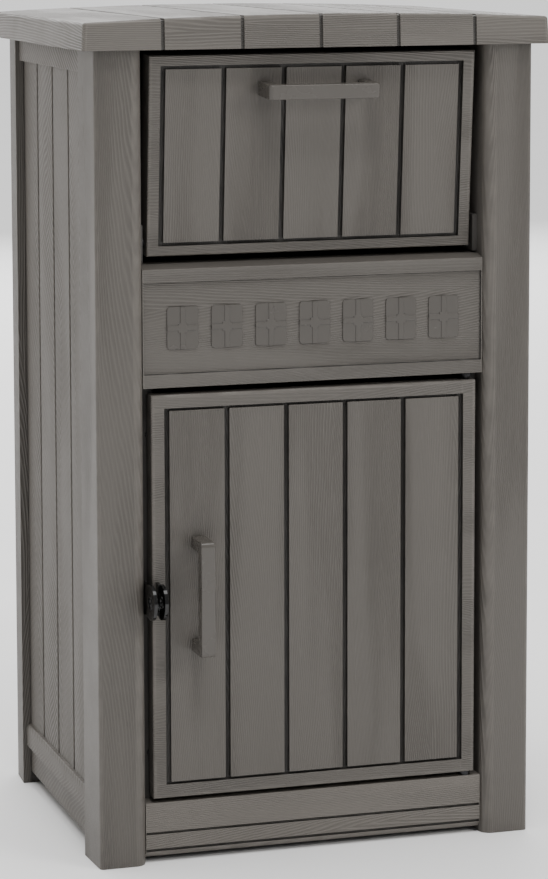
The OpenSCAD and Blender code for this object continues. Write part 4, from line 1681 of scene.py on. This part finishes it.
@dataclass
class ParcelDoor:
    """The lockable door to the parcel compartment, with its handle, ears and liner.

    Attributes:
        boss: the width and height of a hinge boss.
        bore: the radius of a hinge bore.
        bore_depth: how deep it is.
        ear: the thickness of a padlock ear.
        ribs: how many ribs lie side by side on the liner.
        rib: their height.
        rib_slope: the width of their sloped edges.
        rib_gap: the gap between them.
        rib_margin: the margin beside them.
        rib_end: the margin above and below them.
        notch_in: how much of a boss's width the liner's notch leaves covered.
        notch_room: the room above and below a boss in its notch.
        edge: the rounding of the liner's edges.
    """

    boss: tuple[float, float] = (0.018, 0.032)
    bore: float = 0.00405
    bore_depth: float = 0.026
    ear: float = 0.004
    ribs: int = 4
    rib: float = 0.0012
    rib_slope: float = 0.002
    rib_gap: float = 0.022
    rib_margin: float = 0.034
    rib_end: float = 0.060
    notch_in: float = 0.004
    notch_room: float = 0.0003
    edge: float = 0.0006

    def build(self) -> None:
        """Builds the skin, the liner, the handle and the ears."""
        low, high = corners("door_panel")
        pin = (corners("upper_hinge_pin")[0] + corners("upper_hinge_pin")[1]) / 2
        bores = [
            Blank.rod("bore", (pin.x, pin.y, z), self.bore_depth + OVER, self.bore, Axis.Z, 40)
            for z in (low.z - OVER, high.z - self.bore_depth)
        ]
        x = high.x - self.boss[0]
        bosses = (
            (x, high.x, low.z, low.z + self.boss[1]),
            (x, high.x, high.z - self.boss[1], high.z),
        )
        door = PlankedDoor("parcel_door_skin", "door_panel", "parcel_door", low, high, bosses=bosses)
        door.build(bores)
        self._liner(bosses)
        box = corners("door_handle")
        foot = Vector(((box[0].x + box[1].x) / 2, low.y, (box[0].z + box[1].z) / 2))
        handle = BowHandle().shape("parcel_door_bow_handle")
        handle.place(Matrix.Translation(foot) @ Matrix.Rotation(math.pi / 2, 4, "Y"))
        hand_over(handle.finish(), "parcel_door", Finish.HANDLE, "resin_handle", "door_handle")
        for name, node, body in (
            ("cabinet_padlock_ear", "frame_padlock_ear", "cabinet"),
            ("parcel_door_padlock_ear", "door_padlock_ear", "parcel_door"),
        ):
            low, high = corners(node)
            ear = PadlockEar()
            eye = (low.y + ear.radius, (low.z + high.z) / 2)
            blank = ear.shape(name, low.x, low.x + self.ear, *eye, high.y)
            hand_over(blank.finish(), body, Finish.GLOSS, "black_gloss", node)

    def _liner(self, bosses: Bosses) -> None:
        """The ribbed sheet that closes the door's back.

        Args:
            bosses: the corners of the hinge bosses, as x and z ranges.
        """
        low, high = corners("door_liner")
        blank = Blank.block("parcel_door_inner_sheet", low, high)
        notch = high.x - self.boss[0] + self.notch_in
        for _, _, z0, z1 in bosses:
            near_corner = (notch, low.y - OVER, z0 - self.notch_room)
            blank.cut(Blank.block("notch", near_corner, (high.x + OVER, high.y + OVER, z1 + self.notch_room)))
        gap = self.rib_gap
        width = (high.x - low.x - 2 * self.rib_margin - (self.ribs - 1) * gap) / self.ribs
        starts = [low.x + self.rib_margin + i * (width + gap) for i in range(self.ribs)]
        blank.score(Axis.X, *(s + t for s in starts for t in (0.0, width)))
        z0, z3, waist = low.z + self.rib_end, high.z - self.rib_end, (low.z + high.z) / 2
        z1, z2 = waist - gap / 2, waist + gap / 2
        blank.score(Axis.Z, z0, z1, z2, z3)
        blank.faces(
            lambda p, n: n.y > 0.9
            and any(s < p.x < s + width for s in starts)
            and (z0 < p.z < z1 or z2 < p.z < z3)
        )
        blank.inset(self.rib_slope, self.rib)
        blank.tidy().soften(self.edge, 2, 20.0)
        hand_over(blank.finish(), "parcel_door", Finish.INNER, "resin_inner", "door_liner")


@dataclass
class DropDoor:
    """The tilting drop door with its handle and the hopper's parts behind it.

    Attributes:
        lean: its lean at rest, in degrees.
        half_width: half its width.
        face: the distance from the pivot to its face.
        thick: its thickness.
        tail: its length below the pivot.
        top: its length above the pivot.
        handle_down: the handle's middle below its top.
        pivot_radius: the radius of the pivot bore.
    """

    lean: float = 4.34
    half_width: float = 0.2005
    face: float = 0.018
    thick: float = 0.028
    tail: float = 0.014
    top: float = 0.2210
    handle_down: float = 0.040
    pivot_radius: float = 0.005

    def build(self) -> None:
        """Builds the skin and the handle."""
        joint = next(j for j in frame["joints"] if j["name"] == "drop_door_tilt")
        leaned = Matrix.Translation(Vector(joint["pos_m"]))
        leaned = leaned @ Matrix.Rotation(math.radians(self.lean), 4, "X")
        door = PlankedDoor(
            "drop_door_skin",
            "drop_door_panel",
            "drop_door",
            Vector((-self.half_width, -self.face, -self.tail)),
            Vector((self.half_width, self.thick - self.face, self.top)),
            stile=0.014,
            head=0.012,
            border=0.004,
            skin=0.008,
            lean=leaned,
            seed=80,
        )
        start = -self.half_width - OVER
        door.build([Blank.rod("bore", (start, 0, 0), -2 * start, self.pivot_radius, Axis.X)])
        handle = BowHandle().shape("drop_door_bow_handle")
        handle.place(leaned @ Matrix.Translation((0, -self.face, self.top - self.handle_down)))
        hand_over(handle.finish(), "drop_door", Finish.HANDLE, "resin_handle", "drop_door_handle")


# ---------------------------------------------------------------- screws and carried-over parts


def islands(node: str) -> list[tuple[Vector, Vector]]:
    """The corners of each separate solid of a CAD node.

    Args:
        node: the CAD node's name.

    Returns:
        The lowest and highest corner of each solid, in a fixed order.
    """
    mesh = bmesh.new()
    mesh.from_mesh(frame["nodes"][node].data)
    bmesh.ops.remove_doubles(mesh, verts=mesh.verts, dist=1e-6)
    left, found = set(mesh.verts), []
    while left:
        stack = [left.pop()]
        points = []
        while stack:
            vert = stack.pop()
            points.append(vert.co.copy())
            for edge in vert.link_edges:
                other = edge.other_vert(vert)
                if other in left:
                    left.discard(other)
                    stack.append(other)
        found.append(tuple(Vector([end(p[i] for p in points) for i in range(3)]) for end in (min, max)))
    mesh.free()
    return sorted(found, key=lambda c: tuple(round(v, 4) for v in (*c[0], *c[1])))


@dataclass
class PanScrews:
    """The pan-headed screws with their crossed recess.

    Attributes:
        head: the head's radius.
        head_height: its height.
        shank: the shank's radius.
        cross: the recess's arm length, width and depth.
        cap: the rounding of the head.
        stub: the shank's length before it is drawn out.
        root: how far the shank reaches into the head.
    """

    head: float = 0.0038
    head_height: float = 0.0026
    shank: float = 0.0021
    cross: tuple[float, float, float] = (0.0021, 0.0008, 0.0013)
    cap: float = 0.0013
    stub: float = 0.003
    root: float = 0.0005

    def _one(self) -> Blank:
        """A screw along +Z whose head sits below z = 0, with a tip ready to be drawn out.

        Returns:
            The blank.
        """
        screw = Blank.rod("screw", (0, 0, -self.head_height), self.head_height, self.head, Axis.Z, 24)
        screw.edges(lambda p, d: near(p.z, -self.head_height)).chamfer(self.cap, 3)
        reach, width, depth = self.cross
        face = -self.head_height
        for x, y in ((reach, width / 2), (width / 2, reach)):
            screw.cut(Blank.block("slot", (-x, -y, face - OVER), (x, y, face + depth)))
        shank = Blank.rod("shank", (0, 0, -self.root), self.stub + self.root, self.shank, Axis.Z, 16)
        return screw.weld(shank)

    def build(self) -> None:
        """Copies the one screw to every place that a CAD screw has."""
        lean = Matrix.Rotation(math.radians(DropDoor().lean), 3, "X")
        front = Vector((0, -1, 0))

        def outwards(c: Vector) -> Vector:
            """The way to the nearer side of the cabinet."""
            return Vector((math.copysign(1, c.x), 0, 0))

        sets = (
            ("lid_screws", "cabinet", 0.028, lambda c: Vector((0, 0, 1))),
            ("jamb_screws", "cabinet", 0.008, outwards),
            ("pivot_bracket_screws", "cabinet", 0.010, outwards),
            ("frame_ear_screws", "cabinet", 0.008, lambda c: Vector((-1, 0, 0))),
            ("door_liner_screws", "parcel_door", 0.010, lambda c: front),
            ("door_handle_screws", "parcel_door", 0.023, lambda c: front),
            ("door_ear_screws", "parcel_door", 0.015, lambda c: front),
            ("drop_door_liner_screws", "drop_door", 0.019, lambda c: lean @ front),
            ("drop_handle_screws", "drop_door", 0.022, lambda c: lean @ front),
        )
        master = self._one()
        for node, body, length, into in sets:
            screws = []
            for i, (low, high) in enumerate(islands(node)):
                middle = (low + high) / 2
                way = into(middle)
                seat = middle - way * ((length + self.head_height) / 2 - self.head_height)
                screw = master.copy(f"{node}_{i}")
                screw.points(lambda p: p.z > self.stub / 2).move((0, 0, length - self.stub))
                screw.place(Matrix.Translation(seat) @ way.to_track_quat("Z", "X").to_matrix().to_4x4())
                screws.append(screw)
            take(*(s.piece for s in reversed(screws)))
            bpy.ops.object.join()
            joined = screws[0]
            joined.piece.name = node.replace("_screws", "_pan_screws")
            hand_over(joined.finish(35.0), body, Finish.STEEL, "steel", node)
        leave_nothing_selected()
        bpy.data.objects.remove(master.piece)


@dataclass
class CarriedOver:
    """The CAD nodes whose own shape stays, with rounded edges and a finish.

    Attributes:
        edge: the rounding of their edges.
        merge: how near two corners are to be one.
        angle: the least angle that is rounded, in degrees.
        finishes: each finish with its slot and the nodes that have it.
    """

    edge: float = 0.0006
    merge: float = 1e-5
    angle: float = 50.0
    finishes: tuple[tuple[Finish, str, tuple[str, ...]], ...] = (
        (Finish.RAIL, "resin", ("header_rail",)),
        (
            Finish.INNER,
            "resin_inner",
            (
                "floor_panel",
                "lid_corner_blocks",
                "left_jamb",
                "right_jamb",
                "left_pivot_bracket",
                "right_pivot_bracket",
                "drop_door_liner",
                "hopper_tray",
                "hopper_left_cheek",
                "hopper_right_cheek",
            ),
        ),
        (Finish.RUBBER, "rubber", ("door_bumpers",)),
        (Finish.BLACK_STEEL, "steel", ("upper_hinge_pin", "lower_hinge_pin", "drop_door_pivot_pins")),
    )

    def build(self) -> None:
        """Dresses each node and rounds its edges."""
        for finish, slot, nodes in self.finishes:
            for node in nodes:
                piece = frame["nodes"][node]
                dress(piece, finish)
                piece.modifiers.new("Merge", "WELD").merge_threshold = self.merge
                rounding = piece.modifiers.new("Rounding", "BEVEL")
                rounding.width = self.edge
                rounding.segments = 2
                rounding.limit_method = "ANGLE"
                rounding.angle_limit = math.radians(self.angle)
                log.info("%s: carried over from the frame", node)


# ---------------------------------------------------------------- the studio


@dataclass(frozen=True)
class SoftBox:
    """One soft box of light.

    Attributes:
        name: the lamp's name.
        place: where it hangs.
        aim: what it points at.
        size: its width and height.
        power: its power in watts.
        tint: its colour.
    """

    name: str
    place: tuple[float, float, float]
    aim: tuple[float, float, float]
    size: tuple[float, float]
    power: float
    tint: Colour = (1.0, 1.0, 1.0)

    def hang(self) -> None:
        """Adds the lamp."""
        data = bpy.data.lights.new(self.name, "AREA")
        data.color = self.tint
        data.shape = "RECTANGLE"
        data.size, data.size_y = self.size
        data.energy = self.power
        lamp = bpy.data.objects.new(self.name, data)
        bpy.context.scene.collection.objects.link(lamp)
        lamp.visible_camera = False
        lamp.location = Vector(self.place)
        way = Vector(self.aim) - Vector(self.place)
        lamp.rotation_euler = way.to_track_quat("-Z", "Y").to_euler()


@dataclass
class Studio:
    """A pale floor, soft lights and the camera.

    Attributes:
        place: the camera's place.
        yaw: how far it looks to the right, in degrees.
        pitch: how far it looks down.
        roll: how far it leans.
        lens: its focal length in millimetres.
        shift: its shift across and up.
        boxes: the soft boxes.
        sun_spread: the width of the light from straight above, in degrees.
        sun_strength: its strength in watts a square metre.
        sky: the strength of the white surroundings.
        floor_size: the floor's width.
        floor_tones: the two tones of the floor's faint mottling.
    """

    place: Vector = field(default_factory=lambda: Vector((-1.1429, -3.6001, 1.1138)))
    yaw: float = 16.596
    pitch: float = 6.466
    roll: float = -0.257
    lens: float = 125.99
    shift: tuple[float, float] = (0.0708, -0.20)
    boxes: tuple[SoftBox, ...] = (
        SoftBox("left_box", (-3.0, 1.6, 1.4), (0, 0.1, 0.5), (2.0, 2.4), 29, (1.0, 0.94, 0.87)),
        SoftBox("right_box", (2.2, -3.0, 2.2), (0, 0, 0.6), (1.4, 1.6), 52, (1.0, 0.98, 0.95)),
        SoftBox("edge_box", (-0.3, -1.6, 3.0), (0, 0, 0.7), (0.5, 0.3), 22),
        SoftBox("back_box", (0.6, 6.0, 3.0), (0, 0, 0.9), (7.0, 4.0), 366),
    )
    sun_spread: float = 60.0
    sun_strength: float = 3.2
    sky: float = 0.3
    floor_size: float = 80.0
    floor_tones: tuple[Colour, Colour] = ((0.86, 0.86, 0.86), (0.89, 0.89, 0.89))

    def camera(self) -> None:
        """Sets up the camera."""
        yaw, pitch, roll = (math.radians(a) for a in (self.yaw, self.pitch, self.roll))
        level = math.cos(pitch)
        forward = Vector((math.sin(yaw) * level, math.cos(yaw) * level, -math.sin(pitch)))
        flat = Vector((math.cos(yaw), -math.sin(yaw), 0))
        upright = flat.cross(forward)
        right = flat * math.cos(roll) + upright * math.sin(roll)
        up = upright * math.cos(roll) - flat * math.sin(roll)
        data = bpy.data.cameras.new("camera")
        data.lens = self.lens
        data.shift_x, data.shift_y = self.shift
        camera = bpy.data.objects.new("camera", data)
        bpy.context.scene.collection.objects.link(camera)
        turn = Matrix((right, up, -forward)).transposed().to_4x4()
        camera.matrix_world = Matrix.Translation(self.place) @ turn
        bpy.context.scene.camera = camera

    def floor(self) -> None:
        """Lays the floor, with a faintly mottled pale finish."""
        leave_nothing_selected()
        bpy.ops.mesh.primitive_plane_add(size=self.floor_size, location=(0, 0, 0))
        floor = bpy.context.view_layer.objects.active
        floor.name = "studio_floor"
        recipe = Recipe("studio_floor")
        mottle = recipe.noise(recipe.objects(), 3.0, 2.0)
        recipe.feed(recipe.shader.inputs["Base Color"], recipe.blend(mottle, *self.floor_tones))
        recipe.shader.inputs["Roughness"].default_value = 0.9
        recipe.shader.inputs["Specular IOR Level"].default_value = 0.1
        floor.data.materials.append(recipe.material)

    def sun(self) -> None:
        """Adds a wide soft light from straight above."""
        data = bpy.data.lights.new("top_light", "SUN")
        data.angle = math.radians(self.sun_spread)
        data.energy = self.sun_strength
        bpy.context.scene.collection.objects.link(bpy.data.objects.new("top_light", data))

    def surroundings(self) -> None:
        """Sets up the plain white surroundings."""
        world = bpy.data.worlds.new("studio")
        world.use_nodes = True
        sky = world.node_tree.nodes["Background"]
        sky.inputs["Color"].default_value = (1.0, 1.0, 1.0, 1.0)
        sky.inputs["Strength"].default_value = self.sky
        bpy.context.scene.world = world

    def build(self) -> None:
        """Sets up the floor, the camera, the lights and the surroundings."""
        self.floor()
        self.camera()
        for box in self.boxes:
            box.hang()
        self.sun()
        self.surroundings()


def main() -> None:
    """Builds the whole box round the frame, in order."""
    logging.basicConfig(level=logging.INFO, format="%(name)s: %(message)s")
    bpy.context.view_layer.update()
    parts = (CornerPosts, Panels, Lid, FrontRails, ParcelDoor, DropDoor, PanScrews, CarriedOver)
    for part in parts:
        log.info("building %s", part.__name__)
        part().build()
    Studio().build()
    leave_nothing_selected()


if __name__ == "__main__":
    main()
